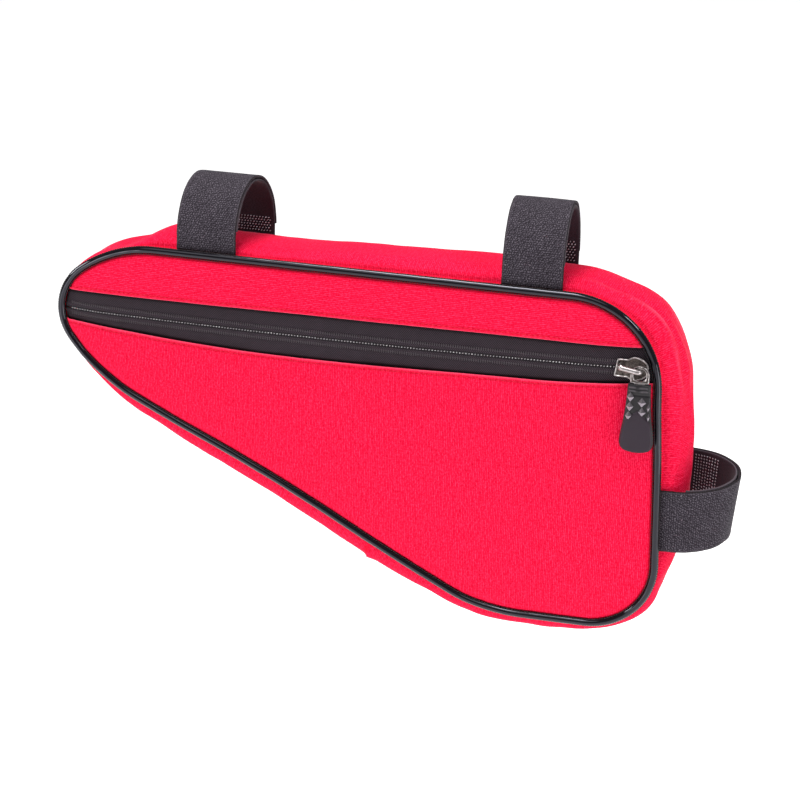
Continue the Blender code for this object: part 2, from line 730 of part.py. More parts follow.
def arch(half_depth, rise, offset):
    """A loop's centre line as (y, rise) points from the front foot to the back foot: straight
    legs under a half ellipse, moved out by offset."""
    leg = STRAP_LEG * rise
    tall = rise - leg
    path = [(-half_depth - offset, 0.0)]
    for step in range(STRAP_ARCH_STEPS + 1):
        angle = math.pi * step / STRAP_ARCH_STEPS
        facing = unit(np.array([-math.cos(angle) / half_depth, math.sin(angle) / tall]))
        y = -half_depth * math.cos(angle) + offset * facing[0]
        path.append((y, leg + tall * math.sin(angle) + offset * facing[1]))
    path.append((half_depth + offset, 0.0))
    return path


def cut_short(path, end):
    """Drops a path's last stretch, from where its leg comes down to a height."""
    kept = [point for i, point in enumerate(path) if i < len(path) / 2 or point[1] > end]
    last, following = kept[-1], path[len(kept)]
    share = (last[1] - end) / (last[1] - following[1])
    y = last[0] + (following[0] - last[0]) * share
    return kept + [(y, end)]


def strap(row):
    """A strap sewn into both seams: one layer from the front seam over the outside, with its free
    end behind, and one from the back seam on the inside."""
    start, end = PLACES[row.start], PLACES[row.end]
    seat = start * (1 - row.share) + end * row.share
    along = unit(end - start)
    normal = outward(along)
    base = seat + normal * (VALLEY_RISE + GAP)
    layer_step = STRAP_WALL + GAP
    front_y = FRONT_SEAM + PIPING_RADIUS + GAP + STRAP_WALL / 2
    back_y = BACK_SEAM - STRAP_WALL / 2
    half_depth = (back_y - (front_y + layer_step)) / 2
    middle = back_y - half_depth
    inner_rise = row.rise * LOOP_RISE - STRAP_WALL / 2 - layer_step - VALLEY_RISE - GAP
    inner = [(-y, rise) for y, rise in arch(half_depth, inner_rise, 0)]
    inner = cut_short(inner, INNER_END * LOOP_RISE)
    outer = cut_short(arch(half_depth, inner_rise, layer_step), row.free_end * LOOP_RISE)
    for layer, path in (("inner", inner), ("outer", outer)):
        sections = []
        for y, rise in path:
            behind = 0.5 + y / (2 * half_depth)
            section = []
            for share in (-0.5, 0, 0.5):
                reach = rise * (1 + row.flare * share) - BACK_INSET * behind
                edge = base + normal * reach + along * STRAP_WIDTH * (share + row.skew * behind)
                section.append((edge[0], middle + y, edge[1]))
            sections.append(section)
        thing = lofted(f"{row.name}_{layer}", sections, False, STRAP_WALL, "black_webbing")
        thing.modifiers["wall"].offset = 0


def clear_scene():
    for thing in list(bpy.data.objects):
        bpy.data.objects.remove(thing)
    for name in ("frame_bag", "cutters"):
        collection = bpy.data.collections.new(name)
        bpy.context.scene.collection.children.link(collection)


def make_finishes():
    for name, finish in FINISHES.items():
        material = bpy.data.materials.new(name)
        material.use_nodes = True
        shader = material.node_tree.nodes["Principled BSDF"]
        shader.inputs["Base Color"].default_value = (*finish.colour, 1)
        shader.inputs["Roughness"].default_value = finish.roughness
        shader.inputs["Metallic"].default_value = finish.metallic


clear_scene()
make_finishes()
gusset()
panels()
piping()
zip_tapes()
zip_coil()
slider()
puller()
for strap_row in STRAPS:
    strap(strap_row)
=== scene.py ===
import math
from collections import namedtuple

import bmesh
import bpy
import numpy as np
from mathutils import Matrix, Vector
from mathutils.geometry import delaunay_2d_cdt


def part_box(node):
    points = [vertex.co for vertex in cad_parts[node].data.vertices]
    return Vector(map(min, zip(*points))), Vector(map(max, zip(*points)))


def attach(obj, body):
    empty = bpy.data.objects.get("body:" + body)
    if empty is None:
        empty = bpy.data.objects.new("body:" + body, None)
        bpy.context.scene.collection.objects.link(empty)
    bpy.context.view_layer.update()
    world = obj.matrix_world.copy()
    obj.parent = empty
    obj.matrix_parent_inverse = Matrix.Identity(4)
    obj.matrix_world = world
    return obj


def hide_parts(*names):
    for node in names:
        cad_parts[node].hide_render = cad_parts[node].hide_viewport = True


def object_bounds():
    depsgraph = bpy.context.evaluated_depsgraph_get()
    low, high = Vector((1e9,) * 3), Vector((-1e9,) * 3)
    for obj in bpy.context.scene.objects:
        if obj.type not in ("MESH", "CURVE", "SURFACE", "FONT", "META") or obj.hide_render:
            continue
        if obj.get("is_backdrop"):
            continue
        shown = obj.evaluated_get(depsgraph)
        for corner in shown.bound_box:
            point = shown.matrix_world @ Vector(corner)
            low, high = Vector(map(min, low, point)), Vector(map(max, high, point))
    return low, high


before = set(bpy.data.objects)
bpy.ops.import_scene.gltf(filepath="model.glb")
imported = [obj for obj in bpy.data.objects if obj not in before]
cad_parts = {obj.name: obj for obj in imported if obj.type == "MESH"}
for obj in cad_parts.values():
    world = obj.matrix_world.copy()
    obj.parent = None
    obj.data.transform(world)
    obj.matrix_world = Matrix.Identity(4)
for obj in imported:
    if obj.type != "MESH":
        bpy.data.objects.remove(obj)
cad_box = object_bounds()

# The seam line. Both faces are cut to this one outline, and the piping and the strip between the
# faces are sewn along it. It is long and low: a sharp nose to fit behind the head tube, a straight
# top under the top tube, and an upright rear side along the seat tube.

SEAM_LENGTH = 0.323
SEAM_HEIGHT = 0.1655
SEAM_DEPTH = 0.052
TOP_REAR = np.array([0.15217, -0.01913])
GAP = 0.0003
FRONT_SEAM = -SEAM_DEPTH / 2
BACK_SEAM = SEAM_DEPTH / 2
STEP_ALONG = 0.0015

Corner = namedtuple("Corner", "name back down radius")
CORNERS = [
    Corner("top_rear", 0.0239, 0.0052, 0.2704),
    Corner("brow", 0.8886, -0.0142, 0.3992),
    Corner("nose", 1.0066, 0.2024, 0.1692),
    Corner("chin", 0.8929, 0.4023, 0.6955),
    Corner("heel", 0.2707, 1.0006, 0.4806),
    Corner("bottom_rear", 0.0069, 0.9932, 0.2024),
]
LEGS = 2 * len(CORNERS)
MOST_TANGENT = 0.497
# Where the sewn line strays from the cut outline: legs round it, and millimetres outward.
SWAY = [
    (0.0, -1.1), (0.15, -0.7), (0.4, -0.1), (0.8, 0.0), (2.6, 0.0), (2.95, 0.6),
    (4.0, -0.3), (4.3, -1.6), (4.6, -2.1), (4.9, -1.9), (5.2, -1.2), (5.6, -0.2),
    (6.2, 0.0), (6.5, 0.3), (7.0, 1.0), (7.15, 0.5), (7.3, -0.8), (7.45, -1.3),
    (7.6, -0.9), (7.75, 0.1), (7.9, 0.55), (8.2, 0.45), (8.6, -0.1), (9.0, 0.0),
    (11.6, 0.0), (11.85, -0.8), (12.0, -1.1),
]
SWAY_ROUNDS = 16

Strap = namedtuple("Strap", "name start end share rise free_end skew flare width")
STRAPS = [
    Strap("front_strap", "top_rear", "brow", 0.8125, 0.965, 0.20, -0.09, 0.0, 1.0),
    Strap("rear_strap", "top_rear", "brow", 0.2245, 1.025, 0.25, 0.07, 0.0, 0.955),
    Strap("seat_strap", "bottom_rear", "top_rear", 0.346, 0.92, 0.25, 0.17, 0.12, 1.0),
]


def unit(vector):
    return vector / np.linalg.norm(vector)


def outward(direction):
    return np.array([direction[1], -direction[0]])


def turned(vector, angle):
    cosine, sine = math.cos(angle), math.sin(angle)
    return np.array([cosine * vector[0] - sine * vector[1], sine * vector[0] + cosine * vector[1]])


PLACES = {c.name: TOP_REAR + np.array([-c.back * SEAM_LENGTH, -c.down * SEAM_HEIGHT]) for c in CORNERS}


def seam_line(spacing):
    """Points, outward normals and leg counts round the outline, anticlockwise seen from the front."""
    corners = [PLACES[c.name] for c in CORNERS]
    arcs = []
    for index, (corner, here) in enumerate(zip(CORNERS, corners)):
        to_here = here - corners[index - 1]
        from_here = corners[(index + 1) % len(corners)] - here
        into, out = unit(to_here), unit(from_here)
        turn = math.atan2(into[0] * out[1] - into[1] * out[0], into @ out)
        shorter = min(np.linalg.norm(to_here), np.linalg.norm(from_here))
        tangent = math.tan(turn / 2)
        reach = min(corner.radius * SEAM_HEIGHT * tangent, MOST_TANGENT * shorter)
        arcs.append((here - into * reach, outward(into), turn, reach / tangent, here + out * reach))
    points, normals, along = [], [], []
    for index, (start, normal, turn, radius, end) in enumerate(arcs):
        centre = start - normal * radius
        steps = max(2, round(turn * radius / spacing))
        for step in range(steps):
            facing = turned(normal, turn * step / steps)
            points.append(centre + facing * radius)
            normals.append(facing)
            along.append(2 * index + step / steps)
        facing = turned(normal, turn)
        following = arcs[(index + 1) % len(arcs)][0]
        steps = max(2, round(np.linalg.norm(following - end) / spacing))
        for step in range(steps):
            share = step / steps
            points.append(end * (1 - share) + following * share)
            normals.append(facing)
            along.append(2 * index + 1 + share)
    normals, along = np.array(normals), np.array(along)
    stray = np.interp(along, *np.array(SWAY).T) * 0.001
    for _ in range(SWAY_ROUNDS):
        stray = (np.roll(stray, 1) + 2 * stray + np.roll(stray, -1)) / 4
    return np.array(points) + normals * stray[:, None], normals, along


SEAM_POINTS, SEAM_NORMALS, SEAM_ALONG = seam_line(STEP_ALONG)
SEAM_STEPS = np.linalg.norm(np.roll(SEAM_POINTS, -1, axis=0) - SEAM_POINTS, axis=1)
SEAM_RUN = np.concatenate([[0], np.cumsum(SEAM_STEPS)])

# The red cloth. It is a heathered polyester weave with a fine rib: each thread is a little lighter
# or darker along its length, and a few light fibres show as specks. Every red piece is cut from it,
# with its pattern laid along the piece's own two directions, in metres, in the UV map.


class Wire:
    """One output of a node. Arithmetic on it adds Math nodes."""

    def __init__(self, sheet, socket):
        self.sheet = sheet
        self.socket = socket

    def __add__(self, other):
        return self.sheet.maths("ADD", self, other)

    def __radd__(self, other):
        return self.sheet.maths("ADD", other, self)

    def __sub__(self, other):
        return self.sheet.maths("SUBTRACT", self, other)

    def __rsub__(self, other):
        return self.sheet.maths("SUBTRACT", other, self)

    def __mul__(self, other):
        return self.sheet.maths("MULTIPLY", self, other)

    def __rmul__(self, other):
        return self.sheet.maths("MULTIPLY", other, self)

    def __truediv__(self, other):
        return self.sheet.maths("DIVIDE", self, other)

    def __pow__(self, other):
        return self.sheet.maths("POWER", self, other)


class NodeSheet:
    """A node tree that is filled by one method, for shaders and for geometry alike."""

    def __init__(self, tree):
        self.tree = tree

    def node(self, kind, settings=None, sockets=None, out=0):
        made = self.tree.nodes.new(kind)
        for name, value in (settings or {}).items():
            if name == "stops":
                ramp = made.color_ramp.elements
                while len(ramp) < len(value):
                    ramp.new(0.5)
                for element, (place, colour) in zip(ramp, value):
                    element.position, element.color = place, (*colour, 1)
            else:
                setattr(made, name, value)
        for name, value in (sockets or {}).items():
            if isinstance(value, Wire):
                self.tree.links.new(value.socket, made.inputs[name])
            else:
                made.inputs[name].default_value = value
        if out is None:
            return None
        if isinstance(out, tuple):
            return [Wire(self, made.outputs[number]) for number in out]
        return Wire(self, made.outputs[out])

    def maths(self, operation, *values):
        return self.node("ShaderNodeMath", {"operation": operation}, dict(enumerate(values)))

    def ramp(self, value, low, high):
        """0 at low, 1 at high, straight between them and level past them."""
        sockets = {0: value, 1: low, 2: high, 3: 0.0, 4: 1.0}
        return self.node("ShaderNodeMapRange", {"clamp": True}, sockets)

    def mixed(self, share, first, second, blend="MIX"):
        sockets = {0: share, 6: colour(first), 7: colour(second)}
        return self.node("ShaderNodeMix", {"data_type": "RGBA", "blend_type": blend}, sockets, 2)

    def noise(self, place, scale, detail=2.0, roughness=0.5):
        sockets = {"Vector": place, "Scale": scale, "Detail": detail, "Roughness": roughness}
        return self.node("ShaderNodeTexNoise", {}, sockets)

    def bump(self, height, strength, distance):
        sockets = {"Height": height, "Strength": strength, "Distance": distance}
        return self.node("ShaderNodeBump", {}, sockets)

    def attribute(self, name):
        return self.node("ShaderNodeAttribute", {"attribute_name": name}, {}, 2)

    def place(self):
        """Where a point lies, in metres."""
        return self.node("ShaderNodeTexCoord", out=3)


def colour(value):
    return value if isinstance(value, Wire) else (*value, 1.0)


def finished(name, paint):
    """A material whose shader sockets paint fills; plain numbers go on the shader itself."""
    material = bpy.data.materials.new(name)
    material.use_nodes = True
    material.node_tree.nodes.clear()
    sheet = NodeSheet(material.node_tree)
    shader = sheet.node("ShaderNodeBsdfPrincipled", {}, paint(sheet))
    sheet.node("ShaderNodeOutputMaterial", {}, {"Surface": shader}, None)
    return material


def laid_out(sheet):
    """The piece's UV map, in metres: along the cloth and across it."""
    place = sheet.node("ShaderNodeUVMap", {"uv_map": "cloth"})
    return [sheet.node("ShaderNodeSeparateXYZ", {}, {0: place}, out) for out in (0, 1)]


def flat_place(sheet, u, v, w=0.0):
    return sheet.node("ShaderNodeCombineXYZ", {}, {0: u, 1: v, 2: w})


RIB_PITCH = 0.00088
DASH_LENGTH = 0.0012
FIBRE = 0.00042
RED_DEEP = (0.46, 0.0008, 0.016)
RED_BODY = (0.76, 0.0023, 0.036)
RED_LIGHT = (0.93, 0.038, 0.120)
# Painted shade for seams and stitched grooves, and a painted highlight for folds and ridges:
RED_SEAM_SHADE = (0.80, 0.0010, 0.022)
RED_SHADE = (0.42, 0.0008, 0.012)
RED_HIGHLIGHT = (1.0, 0.12, 0.21)


def paint_red_cloth(sheet):
    """Ribs run along u. Painted shade darkens its stitched grooves and seams; painted highlights lighten
    folds and ridges.
    """
    u, v = laid_out(sheet)
    warp, weft = u / DASH_LENGTH, v / RIB_PITCH
    rib = sheet.maths("ABSOLUTE", sheet.maths("SINE", weft * math.pi))
    dash = sheet.noise(flat_place(sheet, warp, weft), 1.0, 1.0)
    slub = sheet.noise(flat_place(sheet, warp * 0.22, weft * 0.7, 7.0), 1.0, 1.0)
    fibre = sheet.noise(flat_place(sheet, u / FIBRE, v / FIBRE, 3.0), 1.0, 1.0)
    shade = dash * 0.42 + slub * 0.17 + fibre * 0.46 + rib * 0.17
    worn, sewn, seam = (sheet.attribute(name) for name in ("worn", "sewn", "seam"))
    body = sheet.mixed(sheet.ramp(shade, 0.40, 0.60), RED_DEEP, RED_BODY)
    body = sheet.mixed(sheet.ramp(shade, 0.60, 0.86), body, RED_LIGHT)
    # Painted shade: a deeper red where the cloth runs into a seam, and in the gusset's join.
    body = sheet.mixed(seam * 0.75, body, RED_SEAM_SHADE)
    # Painted shade in the topstitching's groove.
    body = sheet.mixed(sewn * 0.55, body, RED_SHADE)
    # Painted highlight on the folded edges and on the gusset's corner ridge.
    body = sheet.mixed(worn * 0.45, body, RED_HIGHLIGHT)
    return {
        "Base Color": body,
        "Roughness": 0.8,
        "Normal": sheet.bump(rib * 0.5 + shade * 0.9, 0.50, 0.00025),
        "Sheen Weight": 0.29,
        "Sheen Roughness": 0.17,
        "Sheen Tint": (1.0, 0.55, 0.70, 1.0),
        "Specular IOR Level": 0.05,
    }


red_cloth = finished("red_cloth", paint_red_cloth)


def placed(name, data):
    """A new object in the scene, at the origin."""
    thing = bpy.data.objects.new(name, data)
    bpy.context.scene.collection.objects.link(thing)
    return thing


def set_uvs(mesh, corners):
    """The UV map, from one (u, v) for each corner of each face."""
    layer = mesh.uv_layers.new(name="cloth")
    layer.uv.foreach_set("vector", np.asarray(corners, np.float32).ravel())


def plain_mesh(name, points, faces, uvs=None):
    """A mesh object whose faces point outwards as given; uvs has one (u, v) for each point."""
    mesh = bpy.data.meshes.new(name)
    mesh.from_pydata([tuple(map(float, p)) for p in points], [], [tuple(map(int, f)) for f in faces])
    if uvs is not None:
        corners = np.empty(len(mesh.loops), np.int32)
        mesh.loops.foreach_get("vertex_index", corners)
        set_uvs(mesh, np.asarray(uvs, np.float32)[corners])
    mesh.shade_smooth()
    return placed(name, mesh)


def set_attribute(thing, name, values):
    attribute = thing.data.attributes.new(name, "FLOAT", "POINT")
    attribute.data.foreach_set("value", np.asarray(values, np.float32))


def settled(thing):
    """Turns a piece with modifiers into the mesh that they give."""
    bpy.context.view_layer.update()
    graph = bpy.context.evaluated_depsgraph_get()
    mesh = bpy.data.meshes.new_from_object(thing.evaluated_get(graph))
    old = thing.data
    thing.modifiers.clear()
    thing.data = mesh
    bpy.data.meshes.remove(old)
    mesh.name = thing.name
    return thing


def walled(thing, wall):
    """Gives an open cloth surface its thickness, away from the side that it shows."""
    modifier = thing.modifiers.new("wall", "SOLIDIFY")
    modifier.thickness = wall
    modifier.offset = -1
    modifier.use_even_offset = True
    return settled(thing)


def grid_faces(rows, count, round_rows=False, round_points=True, flip=False):
    """Four-sided faces over rows of points. The rows, or each row's points, may close in a ring."""
    faces = []
    for i in range(rows if round_rows else rows - 1):
        for j in range(count if round_points else count - 1):
            near, far = i * count, (i + 1) % rows * count
            k = (j + 1) % count
            if flip:
                faces.append((near + j, far + j, far + k, near + k))
            else:
                faces.append((near + j, near + k, far + k, far + j))
    return faces


def faced_outwards(thing):
    work = bmesh.new()
    work.from_mesh(thing.data)
    bmesh.ops.recalc_face_normals(work, faces=work.faces)
    work.to_mesh(thing.data)
    work.free()
    return thing


def dressed(thing, material, slot, body, *nodes):
    """Paints a piece, fixes it to the body that carries it and puts it in its nodes' place."""
    thing.data.materials.clear()
    thing.data.materials.append(material)
    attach(thing, body)
    if nodes:
        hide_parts(*nodes)
    return thing


# The gusset, the long strip of red cloth that joins the two faces. It is wider than the bag is
# deep, so it bulges between its two seams. It was sewn with a little too much cloth, which the
# cloth simulation below turns into soft puckers between the seams.

VALLEY_RISE = 0.0008
BACK_INSET = 0.002
FRONT_VALLEY = 0.0024
BACK_VALLEY = 0.0022
PIPING_RADIUS = 0.0018
FULLNESS = 0.7
GUSSET_WALL = 0.0012
GUSSET_ROWS = 40
SIMULATED_STEP = 3
SIMULATED_ROWS = 24
SIMULATION_SCALE = 10
SIMULATION_FRAMES = 18
MOST_PUCKER = 0.0006
# How loose the strip lies round the outline: the puckers show most down the rear side.
LOOSENESS = np.array([
    (0.0, 1.0), (0.6, 0.35), (1.0, 0.2), (6.0, 0.2), (8.0, 0.22), (10.2, 0.3), (11.2, 1.0), (12.0, 1.0),
])
SEAM_SHADE_BAND = 0.0030

Bulge = namedtuple("Bulge", "place along rise")
BULGES = [
    Bulge("rear side's top", 0.0, 0.254),
    Bulge("top rear corner's start", 0.15, 0.210),
    Bulge("top rear corner", 0.45, 0.212),
    Bulge("top rear corner, past the middle", 0.60, 0.155),
    Bulge("top rear corner's end", 0.76, 0.088),
    Bulge("top, behind the strap", 1.0, 0.125),
    Bulge("top, before the rear strap", 1.20, 0.162),
    Bulge("top, middle", 1.5, 0.130),
    Bulge("top, behind the front strap", 1.69, 0.094),
    Bulge("top, front strap", 1.9, 0.108),
    Bulge("brow's dome", 1.97, 0.152),
    Bulge("brow", 2.06, 0.138),
    Bulge("brow's edge", 2.15, 0.080),
    Bulge("brow's hollow", 2.40, -0.010),
    Bulge("brow's end", 2.66, 0.074),
    Bulge("forehead", 3.1, 0.068),
    Bulge("nose", 4.1, 0.040),
    Bulge("nose's tip", 4.6, 0.030),
    Bulge("under the nose", 5.0, 0.148),
    Bulge("throat", 5.4, 0.155),
    Bulge("chin", 6.1, 0.194),
    Bulge("chin's end", 6.8, 0.247),
    Bulge("slanted side", 7.06, 0.275),
    Bulge("slanted side, upper half", 7.25, 0.318),
    Bulge("slanted side, middle", 7.62, 0.330),
    Bulge("slanted side's gusset join", 7.78, 0.335),
    Bulge("slanted side, below the join", 7.86, 0.322),
    Bulge("heel", 7.97, 0.282),
    Bulge("heel, middle", 8.35, 0.268),
    Bulge("heel's end", 8.9, 0.232),
    Bulge("bottom", 9.4, 0.240),
    Bulge("bottom rear corner's start", 9.9, 0.213),
    Bulge("bottom rear corner", 10.2, 0.157),
    Bulge("bottom rear corner, middle", 10.5, 0.152),
    Bulge("rear side's foot", 10.80, 0.080),
    Bulge("rear side, under the strap", 11.05, 0.160),
    Bulge("rear side, above the strap", 11.34, 0.235),
    Bulge("rear side, fullest", 11.65, 0.254),
]

Fold = namedtuple("Fold", "name along across slant rise length breadth")
# slant is how far across the fold runs for each leg that it runs along. rise, length and breadth
# are metres, legs and shares of the width.
FOLDS = [
    Fold("corner_ridge", 0.40, 0.17, 0.07, 0.00160, 0.50, 0.030),
    Fold("corner_trough", 0.40, 0.09, 0.06, -0.00150, 0.55, 0.040),
    Fold("corner_hollow", 0.45, 0.27, 0.07, -0.00080, 0.45, 0.045),
    Fold("corner_second_roll", 0.20, 0.36, -0.10, 0.00050, 0.35, 0.040),
    Fold("top_roll", 1.45, 0.22, 0.02, 0.00040, 0.35, 0.070),
    Fold("rear_crease", 11.80, 0.45, -0.30, -0.00220, 0.17, 0.030),
    Fold("rear_roll", 11.78, 0.36, -0.25, 0.00150, 0.20, 0.036),
    Fold("rear_second_crease", 11.66, 0.62, -0.25, -0.00140, 0.15, 0.032),
    Fold("rear_seam_crease", 11.62, 0.18, 0.30, -0.00060, 0.12, 0.040),
    Fold("rear_strap_dimple", 1.135, 0.13, 0.0, -0.00080, 0.030, 0.10),
    Fold("rear_strap_dimple_front", 1.295, 0.13, 0.0, -0.00040, 0.030, 0.09),
    Fold("front_strap_dimple", 1.74, 0.13, 0.0, -0.00070, 0.030, 0.10),
    Fold("front_strap_dimple_front", 1.885, 0.13, 0.0, -0.00040, 0.030, 0.10),
    Fold("brow_hollow", 2.9, 0.30, 0.03, -0.00080, 0.45, 0.16),
    Fold("seat_strap_dimple", 11.50, 0.13, 0.0, -0.00110, 0.040, 0.10),
    Fold("heel_pucker", 8.30, 0.12, 0.25, -0.00050, 0.10, 0.06),
    Fold("bottom_corner_crease", 10.55, 0.30, 0.15, -0.00070, 0.25, 0.06),
    Fold("bottom_corner_roll", 10.62, 0.20, 0.10, 0.00050, 0.25, 0.06),
]
# Where the strip's two ends lie one over the other, on the slanted side.
JOIN_ALONG = 7.743
JOIN_SLANT = -0.032
JOIN_WIDTH = 0.009
JOIN_RISE = 0.0014
JOIN_ROUND = 0.0011
JOIN_GROOVE = 0.0004
JOIN_GROOVE_WIDTH = 0.0007


def eased(share):
    share = np.clip(share, 0.0, 1.0)
    return share * share * (3 - 2 * share)


def bulge_round(along):
    """How far the strip bulges past its seams, eased from row to row."""
    rows = BULGES + [BULGES[0]._replace(along=LEGS)]
    rise = np.zeros_like(along)
    for row, after in zip(rows, rows[1:]):
        here = (along >= row.along) & (along <= after.along)
        share = eased((along[here] - row.along) / (after.along - row.along))
        rise[here] = row.rise + (after.rise - row.rise) * share
    return rise * SEAM_DEPTH


def evened(values, spread, spacing=STEP_ALONG):
    """A closed line of values, blurred along the seam."""
    reach = math.ceil(3 * spread / spacing)
    places = np.arange(-reach, reach + 1) * spacing
    weights = np.exp(-0.5 * (places / spread) ** 2)
    weights /= weights.sum()
    total = np.zeros_like(values)
    for offset, weight in zip(range(-reach, reach + 1), weights):
        total += weight * np.roll(values, offset, axis=0)
    return total


def beside_fold(fold, along, across):
    """Legs past a fold's middle, and shares of the strip's width off its line."""
    apart = (along - fold.along + LEGS / 2) % LEGS - LEGS / 2
    return apart, across - fold.across - fold.slant * apart


def folds_over(along, across):
    total = np.zeros(np.broadcast(along, across).shape)
    for fold in FOLDS:
        apart, off = beside_fold(fold, along, across)
        total += fold.rise * np.exp(-((apart / fold.length) ** 2) - (off / fold.breadth) ** 2)
    return total


def behind_join(along, across):
    """How far past the overlap's edge, in metres."""
    leg = np.linalg.norm(PLACES["heel"] - PLACES["chin"])
    return (along - JOIN_ALONG - JOIN_SLANT * (across - 0.5)) * leg


def join_over(along, across):
    """The step of the overlap: steep on one side, run out on the other."""
    behind = behind_join(along, across)
    ramp = eased(behind / JOIN_ROUND) * (1 - eased(behind / JOIN_WIDTH))
    groove = np.exp(-((behind + JOIN_GROOVE) / JOIN_GROOVE_WIDTH) ** 2)
    return JOIN_RISE * ramp - JOIN_GROOVE * groove


def gusset_profile(rows):
    """y, the bulge's share and the place across, from the front seam to the back seam."""
    rim_front = FRONT_SEAM + PIPING_RADIUS + GAP
    rim_back = BACK_SEAM - GAP
    arch_front, arch_back = rim_front + FRONT_VALLEY, rim_back - BACK_VALLEY
    middle, half = (arch_front + arch_back) / 2, (arch_back - arch_front) / 2
    angle = math.pi * np.linspace(0, 1, rows - 2)
    y = np.concatenate([[rim_front], middle - half * np.cos(angle), [rim_back]])
    sine = np.concatenate([[0], np.clip(np.sin(angle), 0, 1), [0]])
    across = (y - rim_front) / (rim_back - rim_front)
    return y, sine, across


def strip_grid(step, rows, smooth=0.004):
    """The strip before it puckers, as an array of columns by rows by x, y, z."""
    points, normals, along = SEAM_POINTS[::step], SEAM_NORMALS[::step], SEAM_ALONG[::step]
    bulge = evened(bulge_round(SEAM_ALONG), smooth)[::step]
    y, sine, across = gusset_profile(rows)
    rise = bulge[:, None] * sine[None, :] ** FULLNESS
    rise = rise + folds_over(along[:, None], across[None, :]) * np.sqrt(sine)[None, :]
    rise = rise + join_over(along[:, None], across[None, :]) * np.minimum(1, sine * 3)[None, :]
    rise = rise + VALLEY_RISE - BACK_INSET * across[None, :]
    flat = points[:, None, :] + normals[:, None, :] * rise[:, :, None]
    grid = np.empty((*rise.shape, 3))
    grid[..., 0], grid[..., 2] = flat[..., 0], flat[..., 1]
    grid[..., 1] = y[None, :]
    return grid


def surface_normals(grid):
    ahead = np.roll(grid, -1, axis=0) - np.roll(grid, 1, axis=0)
    sideways = np.gradient(grid, axis=1)
    normals = np.cross(sideways, ahead)
    return normals / np.linalg.norm(normals, axis=2, keepdims=True)


def slack_cloth(name, points, faces, held, slack, stiffness=12.0, pressure=1.5):
    """Lets a cloth with too much length buckle between the points that hold it. Returns how far
    each point moved."""
    thing = plain_mesh(name, points * SIMULATION_SCALE, faces)
    group = thing.vertex_groups.new(name="held")
    group.add([int(i) for i in held], 1.0, "REPLACE")
    cloth = thing.modifiers.new("cloth", "CLOTH")
    settings = cloth.settings
    settings.quality = 6
    settings.mass = 0.3
    settings.tension_stiffness = settings.compression_stiffness = stiffness
    settings.shear_stiffness = 4.0
    settings.bending_stiffness = 2.5
    settings.shrink_min = -slack
    settings.vertex_group_mass = "held"
    settings.use_pressure = True
    settings.uniform_pressure_force = pressure
    settings.effector_weights.gravity = 0
    cloth.collision_settings.use_collision = False
    cloth.point_cache.frame_start = 1
    cloth.point_cache.frame_end = SIMULATION_FRAMES
    scene = bpy.context.scene
    for number in range(1, SIMULATION_FRAMES + 1):
        scene.frame_set(number)
    graph = bpy.context.evaluated_depsgraph_get()
    mesh = thing.evaluated_get(graph).to_mesh()
    moved = np.empty(len(mesh.vertices) * 3, np.float32)
    mesh.vertices.foreach_get("co", moved)
    moved = moved.reshape(-1, 3) / SIMULATION_SCALE - points
    scene.frame_set(1)
    data = thing.data
    bpy.data.objects.remove(thing)
    bpy.data.meshes.remove(data)
    return moved


def puckers(columns, rows):
    """The simulated puckers' height on the fine grid of the strip."""
    coarse = strip_grid(SIMULATED_STEP, SIMULATED_ROWS)
    count = len(coarse)
    sewn = (0, 1, SIMULATED_ROWS - 2, SIMULATED_ROWS - 1)
    held = [i * SIMULATED_ROWS + j for i in range(count) for j in sewn]
    faces = grid_faces(count, SIMULATED_ROWS, round_rows=True, round_points=False)
    moved = slack_cloth("slack_strip", coarse.reshape(-1, 3), faces, held, 0.035)
    height = (moved.reshape(coarse.shape) * surface_normals(coarse)).sum(axis=2)
    broad = evened(height, 0.02, STEP_ALONG * SIMULATED_STEP)
    height = height - broad
    along = SEAM_ALONG[::SIMULATED_STEP]
    loose = np.interp(along, *LOOSENESS.T)[:, None]
    height = MOST_PUCKER * np.tanh(height / MOST_PUCKER) * loose
    place = np.arange(columns) / SIMULATED_STEP
    whole = np.floor(place).astype(int)
    part = (place - whole)[:, None]
    round_seam = height[whole % count] * (1 - part) + height[(whole + 1) % count] * part
    _, _, coarse_across = gusset_profile(SIMULATED_ROWS)
    _, _, fine_across = gusset_profile(rows)
    fine = np.array([np.interp(fine_across, coarse_across, row) for row in round_seam])
    return evened(fine, 0.0018)


